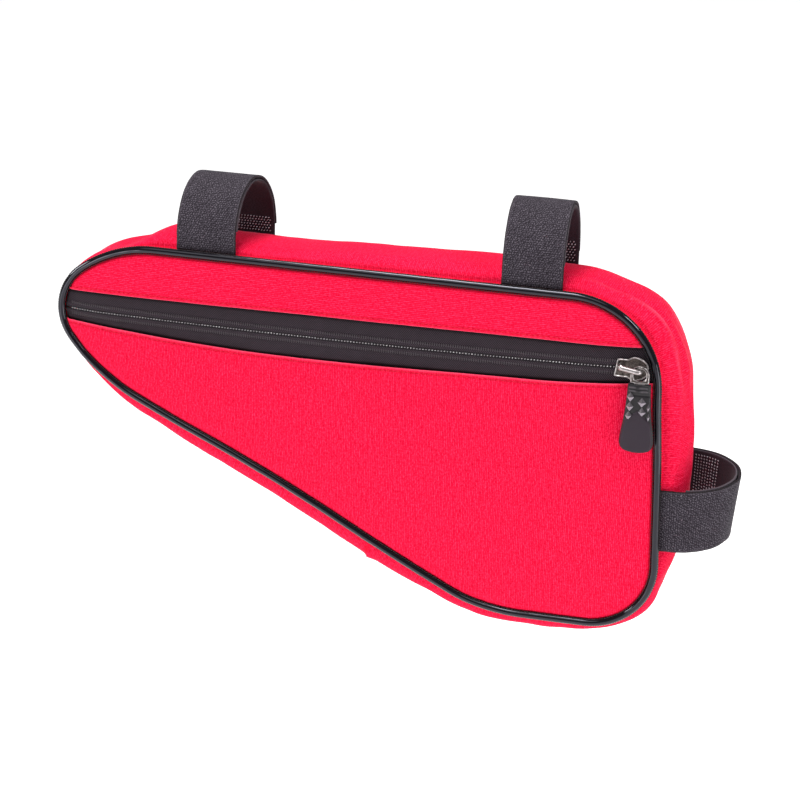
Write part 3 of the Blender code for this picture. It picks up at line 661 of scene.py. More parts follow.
def gusset():
    grid = strip_grid(1, GUSSET_ROWS)
    columns = len(grid)
    grid = grid + surface_normals(grid) * puckers(columns, GUSSET_ROWS)[:, :, None]
    widths = np.linalg.norm(np.diff(grid, axis=1), axis=2).mean(axis=0)
    across = np.concatenate([[0], np.cumsum(widths)])
    points = np.concatenate([grid, grid[:1]]).reshape(-1, 3)
    run = np.repeat(SEAM_RUN, GUSSET_ROWS)
    uvs = np.stack([np.tile(across, columns + 1), run], axis=1)
    faces = grid_faces(columns + 1, GUSSET_ROWS, round_points=False)
    strip = plain_mesh("gusset_cloth", points, faces, uvs)
    # The seam attribute is painted shade: a band along the front seam's valley and a dark line in the join's
    # groove.
    tuck = np.tile(np.exp(-((across / SEAM_SHADE_BAND) ** 4)), (columns + 1, 1))
    spread = gusset_profile(GUSSET_ROWS)[2][None, :]
    round_seam = np.concatenate([SEAM_ALONG, SEAM_ALONG[:1]])[:, None]
    behind = behind_join(round_seam, spread)
    tuck = np.maximum(tuck, np.exp(-(((behind + JOIN_GROOVE) / JOIN_ROUND) ** 2)))
    set_attribute(strip, "seam", tuck.ravel())
    # Painted highlight along the corner ridge's crest.
    ridge = FOLDS[0]
    apart, off = beside_fold(ridge, round_seam, spread)
    ridge_highlight = np.exp(-((apart / (0.8 * ridge.length)) ** 2) - (off / 0.011) ** 2)
    set_attribute(strip, "worn", ridge_highlight.ravel())
    work = bmesh.new()
    work.from_mesh(strip.data)
    bmesh.ops.remove_doubles(work, verts=work.verts, dist=1e-6)
    work.to_mesh(strip.data)
    work.free()
    return walled(strip, GUSSET_WALL)


dressed(gusset(), red_cloth, "red_cloth", "bag", "gusset")

# The front face: two panels of the red cloth, cut apart for the zip. Their edges along the zip are
# folded under and topstitched, and round the outside they run down into the piping's seam. A thin
# foam behind the cloth crowns them.

EDGE_STAND = 0.001
CROWN_HEIGHT = 0.003
CROWN_REACH = 0.022
CROWN_GRID = 0.002
CROWN_ROUNDS = 24
CROWN_EASE = 0.012
PANEL_WALL = 0.0012
PANEL_TUCK = 0.0004
PANEL_GRAIN = 0.0026
WAVE_SIZE = 0.030
WAVE_RISE = 0.00042
RIPPLE_SIZE = 0.0095
RIPPLE_RISE = 0.00012
CALM_BORDER = 0.02
BORDER_ROWS = [0.0004, 0.0009, 0.0015, 0.0022, 0.0032, 0.0046]
FOLD_ROWS = [0.00018, 0.00042, 0.0008, 0.0012, 0.00145, 0.0017, 0.00195, 0.0023, 0.0030, 0.0042]
FOLD_ROUND = 0.0007
FOLD_GRAIN = 0.0013
FOLD_HIGHLIGHT_WIDTH = 0.0005
STITCH_INSET = 0.0017
STITCH_DIP = 0.00022
STITCH_GROOVE = 0.00038
STITCH_SHADE = 0.0005
PUFF_INSET = 0.0009
PUFF_WIDTH = 0.0005
PUFF_RISE = 0.00012
HEM_WIDTH = 0.0068
HEM_RISE = 0.00028
HEM_SLOPE = 0.0012
SEAM_DIVE = 0.0017
DIVE_WIDTH = 0.0026
SEAM_SHADE = 0.0016
GATHER_START = 0.0015
GATHER_REACH = 0.007
GATHER_SIZE = 0.0028
GATHER_RISE = 0.00016
ZIP_DROP = 0.0316
ZIP_SAG = 0.0018
WINDOW_ABOVE = 0.0096
WINDOW_BELOW = 0.0127
LOWER_LIP = np.array([
    (0.00, 0.44), (0.08, 0.60), (0.24, 0.87), (0.34, 0.98),
    (0.46, 1.00), (0.63, 0.93), (0.86, 0.80), (1.00, 0.54),
])
ZIP_NOSE_X = -0.157706
ZIP_REAR_X = 0.141314
TOP_Z = TOP_REAR[1]
ZIP_Z = TOP_Z - ZIP_DROP


def ring_at(offset):
    return SEAM_POINTS + SEAM_NORMALS * offset


CAD_PANEL_EDGE = ring_at(-(PIPING_RADIUS + GAP))
PANEL_EDGE = ring_at(-(PIPING_RADIUS - PANEL_TUCK))


def loop_distance(points, line, closed=True):
    """Each point's distance to a line of straight stretches."""
    starts = line if closed else line[:-1]
    ends = np.roll(line, -1, axis=0) if closed else line[1:]
    best = np.full(len(points), np.inf)
    for start, end in zip(starts, ends):
        run = end - start
        share = np.clip(((points - start) @ run) / (run @ run), 0, 1)
        off = points - start - share[:, None] * run
        best = np.minimum(best, np.einsum("ij,ij->i", off, off))
    return np.sqrt(best)


def is_inside(points, loop):
    inside = np.zeros(len(points), bool)
    x, z = points[:, 0], points[:, 1]
    for (x1, z1), (x2, z2) in zip(loop, np.roll(loop, -1, axis=0)):
        if z1 != z2:
            crosses = (z1 > z) != (z2 > z)
            inside ^= crosses & (x < (x2 - x1) * (z - z1) / (z2 - z1) + x1)
    return inside


def crown_at(distance):
    return CROWN_HEIGHT * (1 - (1 - np.clip(distance / CROWN_REACH, 0, 1)) ** 2)


def blurred(field, rounds):
    for _ in range(rounds):
        wide = np.pad(field, 1, mode="edge")
        field = (wide[:-2, 1:-1] + wide[2:, 1:-1] + wide[1:-1, :-2] + wide[1:-1, 2:] + 4 * field) / 8
    return field


def crown_field():
    """The crown on a grid, with the creases between its slopes blurred out."""
    low = CAD_PANEL_EDGE.min(axis=0) - 2 * CROWN_GRID
    high = CAD_PANEL_EDGE.max(axis=0) + 2 * CROWN_GRID
    columns, rows = np.ceil((high - low) / CROWN_GRID).astype(int) + 1
    xs, zs = low[0] + CROWN_GRID * np.arange(columns), low[1] + CROWN_GRID * np.arange(rows)
    points = np.stack(np.meshgrid(xs, zs, indexing="ij"), axis=2).reshape(-1, 2)
    distance = np.where(is_inside(points, CAD_PANEL_EDGE), loop_distance(points, CAD_PANEL_EDGE), 0)
    raw = crown_at(distance).reshape(columns, rows)
    soft = blurred(raw, CROWN_ROUNDS)
    near = eased(distance.reshape(columns, rows) / CROWN_EASE)
    return low, raw + (soft - raw) * near


CROWN_LOW, CROWN_FIELD = crown_field()


def crown_over(points):
    place = (points - CROWN_LOW) / CROWN_GRID
    whole = np.clip(np.floor(place).astype(int), 0, np.array(CROWN_FIELD.shape) - 2)
    part = np.clip(place - whole, 0, 1)
    i, j = whole[:, 0], whole[:, 1]
    a = CROWN_FIELD[i, j] * (1 - part[:, 0]) + CROWN_FIELD[i + 1, j] * part[:, 0]
    b = CROWN_FIELD[i, j + 1] * (1 - part[:, 0]) + CROWN_FIELD[i + 1, j + 1] * part[:, 0]
    return a * (1 - part[:, 1]) + b * part[:, 1]


def waves(points, scale, offset):
    """A smooth uneven field between about -1 and 1, the same in each run."""
    x, z = points[:, 0] / scale + offset, points[:, 1] / scale - offset
    total = np.sin(x * 1.9 + 1.3 * np.sin(z * 1.1 + offset))
    total += 0.8 * np.sin(z * 2.3 + 1.7 * np.sin(x * 0.9 - offset) + 2.0)
    total += 0.6 * np.sin((x + z) * 3.1 + 1.1 * np.sin((x - z) * 1.7))
    return total / 2.4


def face_stand(points):
    """How far the cloth of either face stands out from its seam, without its own small waves."""
    return EDGE_STAND + crown_over(points)


def zip_share(x):
    return (x - ZIP_NOSE_X) / (ZIP_REAR_X - ZIP_NOSE_X)


def zip_line(x):
    return ZIP_Z - ZIP_SAG * (1 - (2 * zip_share(x) - 1) ** 2)


def window_top(x):
    return ZIP_Z + WINDOW_ABOVE + 0 * x


def window_bottom(x):
    """The lower panel's folded edge: lowest in its middle, without corners between its rows."""
    share = np.clip(zip_share(x), 0, 1)
    reach = 0.035
    spots = [np.interp(np.clip(share + reach * s, 0, 1), *LOWER_LIP.T) for s in (-1, -0.5, 0, 0.5, 1)]
    return ZIP_Z - WINDOW_BELOW * np.mean(spots, axis=0)


def resampled(line, spacing):
    steps = np.linalg.norm(np.diff(line, axis=0), axis=1)
    run = np.concatenate([[0], np.cumsum(steps)])
    count = max(2, round(run[-1] / spacing) + 1)
    places = np.linspace(0, run[-1], count)
    return np.stack([np.interp(places, run, line[:, k]) for k in range(line.shape[1])], axis=1)


def trimmed(loop, level, side):
    """The part of a loop on one side of a level line, and the level line between its two ends."""
    over = side * (loop[:, 1] - level(loop[:, 0]))
    first = next(i for i in range(len(loop)) if over[i] > 0 and over[i - 1] <= 0)
    loop, over = np.roll(loop, -first, axis=0), np.roll(over, -first)
    last = int(np.argmax(over <= 0)) - 1
    start = loop[-1] + (loop[0] - loop[-1]) * over[-1] / (over[-1] - over[0])
    end = loop[last] + (loop[last + 1] - loop[last]) * over[last] / (over[last] - over[last + 1])
    xs = np.linspace(end[0], start[0], 800)
    fold = resampled(np.stack([xs, level(xs)], axis=1), FOLD_GRAIN)
    return np.concatenate([[start], loop[: last + 1], [end]]), fold


def line_normals(line, towards):
    run = np.gradient(line, axis=0)
    normals = np.stack([run[:, 1], -run[:, 0]], axis=1)
    normals /= np.linalg.norm(normals, axis=1, keepdims=True)
    return normals * np.sign((towards * normals).sum(axis=1))[:, None]


def triangulated(outline, inner):
    """Triangles over an outline and the points inside it, all facing the same way."""
    points = [Vector(p) for p in outline] + [Vector(p) for p in inner]
    edges = [(i, (i + 1) % len(outline)) for i in range(len(outline))]
    spots, _, faces, *_ = delaunay_2d_cdt(points, edges, [], 1, 1e-7)
    return np.array([tuple(p) for p in spots]), [tuple(f) for f in faces]


def grid_inside(loop, spacing):
    low, high = loop.min(axis=0), loop.max(axis=0)
    rows = []
    for k, z in enumerate(np.arange(low[1], high[1], spacing * math.sqrt(0.75))):
        xs = np.arange(low[0] + spacing / 2 * (k % 2), high[0], spacing)
        rows.append(np.stack([xs, np.full(len(xs), z)], axis=1))
    points = np.concatenate(rows)
    return points[is_inside(points, loop)]


def face_plan(border, fold, inward):
    """A panel's flat plan: rows beside its seam and its fold, and an even grid between them."""
    outline = np.concatenate([border, fold[1:-1]]) if fold is not None else border
    closed = fold is None
    normals = -SEAM_NORMALS if closed else line_normals(border, inward(border))
    inner = [border + normals * row for row in BORDER_ROWS]
    grid = grid_inside(outline, PANEL_GRAIN)
    far = loop_distance(grid, border, closed) > BORDER_ROWS[-1] + 0.5 * PANEL_GRAIN
    if fold is not None:
        for row in FOLD_ROWS:
            inner.append(fold + line_normals(fold, inward(fold)) * row)
        far &= loop_distance(grid, fold, False) > FOLD_ROWS[-1] + 0.5 * PANEL_GRAIN
    inner = np.concatenate(inner)
    keep = is_inside(inner, outline) & (loop_distance(inner, outline) > 0.00015)
    if fold is not None:
        to_border = loop_distance(inner, border, False)
        to_fold = loop_distance(inner, fold, False)
        corner = (to_border < BORDER_ROWS[-1] * 1.05) & (to_fold < FOLD_ROWS[-1] * 1.05)
        keep &= ~corner | (np.arange(len(inner)) % 2 == 0)
    return triangulated(outline, np.concatenate([inner[keep], grid[far]]))


def fold_relief(distance):
    """A folded and topstitched edge: its round, the stitches' groove and the hem's end."""
    short = np.clip(FOLD_ROUND - distance, 0, None)
    round_off = FOLD_ROUND - np.sqrt(np.clip(FOLD_ROUND**2 - short**2, 0, None))
    groove = STITCH_DIP * np.exp(-(((distance - STITCH_INSET) / STITCH_GROOVE) ** 2))
    puff = PUFF_RISE * np.exp(-(((distance - PUFF_INSET) / PUFF_WIDTH) ** 2))
    hem = HEM_RISE * (1 - eased((distance - HEM_WIDTH) / HEM_SLOPE))
    return hem + puff - groove - round_off


def seam_relief(border_distance, points):
    """The cloth's dive into the seam, and the small gathers beside it."""
    dive = SEAM_DIVE * (1 - np.sin(np.pi / 2 * np.clip(border_distance / DIVE_WIDTH, 0, 1)))
    near = np.exp(-((border_distance / GATHER_REACH) ** 2)) * eased(border_distance / GATHER_START)
    return GATHER_RISE * waves(points, GATHER_SIZE, 4.0) * near - dive


def face_height(points, border, fold):
    distance = loop_distance(points, border, fold is None)
    stand = face_stand(points) + seam_relief(distance, points)
    broad, fine = waves(points, WAVE_SIZE, 1.0), waves(points, RIPPLE_SIZE, 2.0)
    stand = stand + (WAVE_RISE * broad + RIPPLE_RISE * fine) * eased(distance / CALM_BORDER)
    edge = groove = np.zeros(len(points))
    if fold is not None:
        to_fold = loop_distance(points, fold, False)
        stand = stand + fold_relief(to_fold) - HEM_RISE
        # A painted highlight along the fold's edge, and painted shade in the stitches' groove.
        edge = np.exp(-((to_fold / FOLD_HIGHLIGHT_WIDTH) ** 2))
        groove = np.exp(-(((to_fold - STITCH_INSET) / STITCH_SHADE) ** 2))
    return stand, distance, edge, groove


def face_panel(name, border, fold, inward, seam_y, facing, ribs_level, node):
    points, faces = face_plan(border, fold, inward)
    stand, distance, edge, groove = face_height(points, border, fold)
    spots = np.stack([points[:, 0], seam_y + facing * stand, points[:, 1]], axis=1)
    if facing > 0:
        faces = [tuple(reversed(f)) for f in faces]
    sheet = plain_mesh(name, spots, faces, points if ribs_level else points[:, ::-1])
    # Painted highlight at the fold, painted shade in the stitch groove and where the cloth runs into the
    # seam.
    set_attribute(sheet, "worn", edge)
    set_attribute(sheet, "sewn", groove)
    set_attribute(sheet, "seam", np.exp(-((distance / SEAM_SHADE) ** 2)))
    walled(sheet, PANEL_WALL)
    return dressed(sheet, red_cloth, "red_cloth", "bag", node)


def down(points):
    return np.tile([0.0, -1.0], (len(points), 1))


def up(points):
    return np.tile([0.0, 1.0], (len(points), 1))


def to_middle(points):
    return np.array([PANEL_EDGE.mean(axis=0)]) - points


upper_border, upper_fold = trimmed(PANEL_EDGE, window_top, 1)
lower_border, lower_fold = trimmed(PANEL_EDGE, window_bottom, -1)


def inward_of(fold, away):
    """Into the panel: away from the zip at the fold, and to the panel's middle at the border."""

    def direction(points):
        return away(points) if len(points) == len(fold) else to_middle(points)

    return direction


for name, border, fold, away, ribs_level, node in (
    ("front_upper_cloth", upper_border, upper_fold, up, True, "front_upper_panel"),
    ("front_lower_cloth", lower_border, lower_fold, down, False, "front_lower_panel"),
):
    face_panel(name, border, fold, inward_of(fold, away), FRONT_SEAM, -1, ribs_level, node)
back_border = ring_at(VALLEY_RISE - BACK_INSET + 0.0003)
face_panel("back_cloth", back_border, None, None, BACK_SEAM + PANEL_WALL - 0.0004, 1, False, "back_panel")

# The topstitching along the zip's two folded edges: red polyester thread in short lockstitches,
# each lying in the groove that it pulls into the cloth.

STITCH_PITCH = 0.0026
STITCH_LENGTH = 0.0019
STITCH_RADIUS = 0.00019


def flecked(name, scale, detail, dark, light, shader, fades=(0.0, 1.0), relief=0.0):
    """A material of two colours that fine noise mixes, for threads and other small things."""

    def paint(sheet):
        fleck = sheet.noise(sheet.place(), scale, detail)
        sockets = {"Base Color": sheet.mixed(sheet.ramp(fleck, *fades), dark, light), **shader}
        if relief:
            sockets["Normal"] = sheet.bump(fleck, relief, 0.0001)
        return sockets

    return finished(name, paint)


thread_shine = {"Roughness": 0.7, "Specular IOR Level": 0.3}
red_thread = flecked(
    "red_thread", 5200.0, 1.0, (0.50, 0.002, 0.02), (0.82, 0.012, 0.05), thread_shine, (0.35, 0.65), 0.4
)


def path_mesh(name, lines, facings, closed=False):
    """Lines of points as edges; facing is the way that what they carry looks."""
    points, edges, looks = [], [], []
    for line, facing in zip(lines, facings):
        first = len(points)
        points += [tuple(map(float, p)) for p in line]
        looks += [tuple(map(float, f)) for f in facing]
        edges += [(first + i, first + i + 1) for i in range(len(line) - 1)]
        if closed:
            edges.append((first + len(line) - 1, first))
    mesh = bpy.data.meshes.new(name)
    mesh.from_pydata(points, edges, [])
    attribute = mesh.attributes.new("facing", "FLOAT_VECTOR", "POINT")
    attribute.data.foreach_set("vector", np.array(looks, np.float32).ravel())
    return placed(name, mesh)


def geometry_tree(name, sizes):
    """A Geometry Nodes tree with its named inputs: the piece's geometry, its sizes and its finish."""
    tree = bpy.data.node_groups.new(name, "GeometryNodeTree")
    tree.interface.new_socket("Geometry", in_out="INPUT", socket_type="NodeSocketGeometry")
    for size in sizes:
        tree.interface.new_socket(size, in_out="INPUT", socket_type="NodeSocketFloat")
    tree.interface.new_socket("Finish", in_out="INPUT", socket_type="NodeSocketMaterial")
    tree.interface.new_socket("Geometry", in_out="OUTPUT", socket_type="NodeSocketGeometry")
    sheet = NodeSheet(tree)
    given = tree.nodes.new("NodeGroupInput")
    wires = {socket.name: Wire(sheet, socket) for socket in given.outputs if socket.name}
    return sheet, wires


def tree_end(sheet, instances, finish):
    real = sheet.node("GeometryNodeRealizeInstances", {}, {0: instances})
    smooth = sheet.node("GeometryNodeSetShadeSmooth", {}, {"Geometry": real})
    painted = sheet.node("GeometryNodeSetMaterial", {}, {"Geometry": smooth, "Material": finish})
    sheet.node("NodeGroupOutput", {}, {0: painted}, None)
    return sheet.tree


def stitch_tree():
    """Long beads along lines, each turned from its line by Lean about the way the line looks."""
    sheet, given = geometry_tree("stitches", ["Pitch", "Length", "Width", "Height", "Lean"])
    line = sheet.node("GeometryNodeMeshToCurve", {}, {0: given["Geometry"]})
    sockets = {0: line, "Length": given["Pitch"]}
    points, tangent = sheet.node("GeometryNodeCurveToPoints", {"mode": "LENGTH"}, sockets, (0, 1))
    look = sheet.node("GeometryNodeInputNamedAttribute", {"data_type": "FLOAT_VECTOR"}, {"Name": "facing"})
    sockets = {"Vector": tangent, "Axis": look, "Angle": given["Lean"]}
    along = sheet.node("ShaderNodeVectorRotate", {"rotation_type": "AXIS_ANGLE"}, sockets)
    turn = sheet.node("FunctionNodeAlignRotationToVector", {"axis": "X"}, {"Vector": along})
    sockets = {"Rotation": turn, "Vector": look}
    turn = sheet.node("FunctionNodeAlignRotationToVector", {"axis": "Z", "pivot_axis": "X"}, sockets)
    bead = sheet.node("GeometryNodeMeshUVSphere", {}, {"Segments": 7, "Rings": 5, "Radius": 0.5})
    size = sheet.node("ShaderNodeCombineXYZ", {}, {0: given["Length"], 1: given["Width"], 2: given["Height"]})
    sockets = {"Points": points, "Instance": bead, "Rotation": turn, "Scale": size}
    return tree_end(sheet, sheet.node("GeometryNodeInstanceOnPoints", {}, sockets), given["Finish"])


STITCHES = stitch_tree()


def grown(thing, tree, finish, **sizes):
    """Runs a tree on a line or a set of points, and keeps the plain mesh that it gives."""
    modifier = thing.modifiers.new(tree.name, "NODES")
    modifier.node_group = tree
    for socket in tree.interface.items_tree:
        if socket.in_out == "INPUT" and socket.name != "Geometry":
            value = finish if socket.name == "Finish" else float(sizes[socket.name])
            modifier[socket.identifier] = value
    return settled(thing)


def beaded(name, lines, facings, finish, slot, closed=False, **sizes):
    """Beads along lines, as one piece that rides on the bag."""
    path = path_mesh(name, lines, facings, closed)
    dressed(grown(path, STITCHES, finish, **sizes), finish, slot, "bag")


def facing_front(line):
    return np.tile([0.0, -1.0, 0.0], (len(line), 1))


def panel_line(fold, towards, inset, border, depth):
    """A line beside a folded edge, on the cloth's surface, and the way that it looks."""
    flat = fold + line_normals(fold, towards(fold)) * inset
    flat = flat[is_inside(flat, ring_at(-(PIPING_RADIUS + 0.0006)))]
    stand, _, _, _ = face_height(flat, border, fold)
    line = np.stack([flat[:, 0], FRONT_SEAM - stand + depth, flat[:, 1]], axis=1)
    return line, facing_front(line)


upper_stitch = panel_line(upper_fold, up, STITCH_INSET, upper_border, 0.00002)
lower_stitch = panel_line(lower_fold, down, STITCH_INSET, lower_border, 0.00002)
sizes = {"Pitch": STITCH_PITCH, "Length": STITCH_LENGTH, "Lean": 0.0}
sizes.update(Width=2 * STITCH_RADIUS, Height=2 * STITCH_RADIUS)
beaded("topstitching", *zip(upper_stitch, lower_stitch), red_thread, "red_cloth", **sizes)

# The piping round the front: a cord covered in shiny black coated cloth, caught in the seam
# between the front face and the gusset. Dark beads run along both its sides, on the seam's dark line.

PIPING_SIDES = 18
PIPING_WAVE = 0.035


def paint_black_piping(sheet):
    u, v = laid_out(sheet)
    ripple = sheet.noise(flat_place(sheet, u, v), 260.0, 3.0, 0.6)
    grain = sheet.noise(flat_place(sheet, u, v, 5.0), 2400.0, 2.0)
    body = sheet.mixed(sheet.ramp(ripple, 0.3, 0.7), (0.0015, 0.001, 0.002), (0.004, 0.003, 0.005))
    return {
        "Base Color": body,
        "Roughness": sheet.ramp(ripple, 0.0, 1.0) * 0.05 + 0.06,
        "Specular Tint": colour((0.88, 0.87, 1.0)),
        "Normal": sheet.bump(ripple * 0.7 + grain * 0.3, 0.05, 0.0002),
        "Specular IOR Level": 0.42,
    }


black_piping = finished("black_piping", paint_black_piping)


def swept_ring(points, normals, radii, sides, run):
    """A closed tube along the seam. UV: along it, and round it from the outer side."""
    turns = np.arange(sides) * 2 * math.pi / sides
    count = len(points)
    grid = np.empty((count, sides, 3))
    flat = points[:, None, :] + normals[:, None, :] * (radii[:, None] * np.cos(turns))[:, :, None]
    grid[..., 0], grid[..., 2] = flat[..., 0], flat[..., 1]
    grid[..., 1] = FRONT_SEAM - radii[:, None] * np.sin(turns)
    corners = []
    for near, far in zip(run, run[1:]):
        for j in range(sides):
            low, high = j * radii.mean() * turns[1], (j + 1) * radii.mean() * turns[1]
            corners += [(near, low), (far, low), (far, high), (near, high)]
    return grid.reshape(-1, 3), grid_faces(count, sides, round_rows=True, flip=True), corners


def piping():
    radii = PIPING_RADIUS * (1 + PIPING_WAVE * waves(SEAM_POINTS, 0.006, 3.0))
    points, faces, corners = swept_ring(SEAM_POINTS, SEAM_NORMALS, radii, PIPING_SIDES, SEAM_RUN)
    tube = plain_mesh("piping", points, faces)
    set_uvs(tube.data, corners)
    return tube


dressed(piping(), black_piping, "black_piping", "bag", "piping_front")

NICK_PITCH = 0.0013
NICK_LENGTH = 0.00125
NICK_WIDTH = 0.00042


def seam_path(offset, y):
    flat = ring_at(offset)
    line = np.stack([flat[:, 0], np.full(len(flat), y), flat[:, 1]], axis=1)
    return line, facing_front(line)


black_thread = flecked(
    "black_thread", 4000.0, 1.0, (0.006, 0.005, 0.006), (0.03, 0.022, 0.026), {"Roughness": 0.7}
)
inner_side = seam_path(-(PIPING_RADIUS + 0.00012), FRONT_SEAM - 0.0008)
outer_side = seam_path(PIPING_RADIUS + 0.00005, FRONT_SEAM - 0.0001)
sizes = {"Pitch": NICK_PITCH, "Length": NICK_LENGTH, "Width": NICK_WIDTH, "Height": 0.0006, "Lean": 0.22}
beaded("seam_nicks", *zip(inner_side, outer_side), black_thread, "black_piping", True, **sizes)

# The zip: two charcoal tapes of woven polyester with a twill, folded over a closed coil that is
# sewn behind them. A bar of thread shows over each turn of the coil, and between the bars the
# coil's turns meet as a line of pale dots.

TAPE_WALL = 0.0009
LAYER_GAP = 0.00045
TAPE_DEPTH = 0.0016 + LAYER_GAP
TAPE_HIDDEN = 0.005
TAPE_SLIT = 0.00022
TAPE_GRAIN = 0.0008
TAPE_WAVE = 0.012
TAPE_SLACK = 0.00016
MEETING_WIDTH = 0.0003
MEETING_DIP = 0.00022
TUCK_WIDTH = 0.0011
TUCK_DIP = 0.0004
COIL_WIDTH = 0.0056
COIL_WALL = 0.002
COIL_RISE = 0.00062
COIL_CREST = 0.0016
COIL_SLOPE = 0.0022
TWILL_PITCH = 0.00105
BAR_PITCH = 0.00115
DOT_PITCH = 0.00152


def paint_zip_tape(sheet):
    u, v = laid_out(sheet)
    slope = (u + v * 0.9) / TWILL_PITCH
    twill = sheet.maths("SINE", slope * 2 * math.pi) * 0.5 + 0.5
    pick = sheet.maths("SINE", v / 0.00034 * math.pi) * 0.5 + 0.5
    fuzz = sheet.noise(flat_place(sheet, u, v), 2600.0, 2.0)
    mottle = sheet.noise(flat_place(sheet, u, v, 2.0), 160.0, 2.0)
    shade = twill * 0.62 + pick * 0.06 + fuzz * 0.40 + mottle * 0.12
    middle = sheet.ramp(sheet.maths("ABSOLUTE", v), 0.0008, 0.0012)
    tucked = sheet.attribute("tucked")
    body = sheet.mixed(sheet.ramp(shade, 0.30, 0.95), (0.001, 0.0005, 0.001), (0.050, 0.034, 0.046))
    body = sheet.mixed((1 - middle) * 0.7, body, (0.004, 0.003, 0.004))
    # Painted shadow where the tape runs under the folded edges.
    body = sheet.mixed(tucked * 0.85, body, (0.002, 0.0015, 0.002))
    return {
        "Base Color": body,
        "Roughness": 0.72,
        "Normal": sheet.bump(shade, 0.45, 0.00022),
        "Sheen Weight": 0.02,
        "Specular IOR Level": 0.16,
    }


zip_tape = finished("zip_tape", paint_zip_tape)


def tape_surface(points):
    """How far the tape stands out from the front seam's plane."""
    off = points[:, 1] - zip_line(points[:, 0])
    over_coil = COIL_RISE * (1 - eased((np.abs(off) - COIL_CREST) / COIL_SLOPE))
    meeting = MEETING_DIP * np.exp(-((off / MEETING_WIDTH) ** 2))
    slack = TAPE_SLACK * waves(points, TAPE_WAVE, 5.0)
    tuck = TUCK_DIP * tucked_under(points)
    return face_stand(points) - TAPE_DEPTH + over_coil - meeting + slack - tuck


def tucked_under(points):
    """1 under a folded edge and close beside it: there the tape dips, and its colour takes a painted shadow.
    """
    x, z = points[:, 0], points[:, 1]
    to_fold = np.minimum((window_top(x) - z) * 0.5, z - window_bottom(x))
    return 1 - eased(to_fold / TUCK_WIDTH)


def level_ends(z_of_x):
    """Where a level line enters and leaves the panels' outline."""
    xs = np.linspace(CAD_PANEL_EDGE[:, 0].min() - 0.001, CAD_PANEL_EDGE[:, 0].max() + 0.001, 1600)
    inside = is_inside(np.stack([xs, z_of_x(xs)], axis=1), CAD_PANEL_EDGE)
    return xs[inside][0], xs[inside][-1]


def tape(name, side, reach_to, node):
    shares = np.concatenate([np.linspace(0, 0.3, 14)[:-1], np.linspace(0.3, 1, 26)])
    columns = round((ZIP_REAR_X - ZIP_NOSE_X) / TAPE_GRAIN)
    rows = []
    for share in shares:
        def level(x, share=share):
            start = zip_line(x) + side * TAPE_SLIT
            return start + (reach_to(x) - start) * share

        low, high = level_ends(level)
        xs = np.linspace(low, high, columns + 1)
        rows.append(np.stack([xs, level(xs)], axis=1))
    flat = np.array(rows)
    stand = tape_surface(flat.reshape(-1, 2)).reshape(flat.shape[:2])
    points = np.stack([flat[..., 0], FRONT_SEAM - stand, flat[..., 1]], axis=2).reshape(-1, 3)
    uvs = np.stack([flat[..., 0], flat[..., 1] - zip_line(flat[..., 0])], axis=2).reshape(-1, 2)
    faces = grid_faces(len(shares), columns + 1, round_points=False)
    if side < 0:
        faces = [tuple(reversed(face)) for face in faces]
    strip = plain_mesh(name, points, faces, uvs)
    set_attribute(strip, "tucked", tucked_under(flat.reshape(-1, 2)))
    walled(strip, TAPE_WALL)
    return dressed(strip, zip_tape, "zip_tape", "bag", node)


tape("zip_tape_above", 1, lambda x: window_top(x) + TAPE_HIDDEN, "zip_tape_upper")
tape("zip_tape_below", -1, lambda x: window_bottom(x) - TAPE_HIDDEN, "zip_tape_lower")


def zip_path(offset, depth, start=ZIP_NOSE_X + 0.0035, end=ZIP_REAR_X - 0.016):
    xs = np.linspace(start, end, 600)
    flat = np.stack([xs, zip_line(xs) + offset], axis=1)
    line = np.stack([xs, FRONT_SEAM - tape_surface(flat) + depth, flat[:, 1]], axis=1)
    return line, facing_front(line)


bar_shine = {"Roughness": 0.55, "Specular IOR Level": 0.3}
zip_bars = flecked("zip_bars", 3000.0, 2.0, (0.010, 0.008, 0.010), (0.075, 0.060, 0.070), bar_shine)
bars = zip(zip_path(0.0026, 0.00002), zip_path(-0.0026, 0.00002))
sizes = {"Pitch": BAR_PITCH, "Length": 0.0026, "Width": 0.00066, "Height": 0.00044, "Lean": math.pi / 2}
beaded("zip_bar_threads", *bars, zip_bars, "zip_tape", **sizes)

coil_dots = flecked(
    "coil_dots", 900.0, 2.0, (0.34, 0.30, 0.33), (0.85, 0.82, 0.84), {"Roughness": 0.4}, (0.35, 0.7)
)
sizes = {"Pitch": DOT_PITCH, "Length": 0.00066, "Width": 0.00050, "Height": 0.00042, "Lean": 0.5}
beaded("zip_meeting_dots", *zip(zip_path(0.0, -0.00006)), coil_dots, "zip_coil", **sizes)


def paint_zip_coil(sheet):
    place = sheet.place()
    x = sheet.node("ShaderNodeSeparateXYZ", {}, {0: place})
    turn = sheet.maths("SINE", x / BAR_PITCH * 2 * math.pi) * 0.5 + 0.5
    return {
        "Base Color": sheet.mixed(turn, (0.008, 0.007, 0.008), (0.035, 0.03, 0.034)),
        "Roughness": 0.45,
        "Normal": sheet.bump(turn, 0.6, 0.0004),
    }


zip_coil = finished("zip_coil", paint_zip_coil)


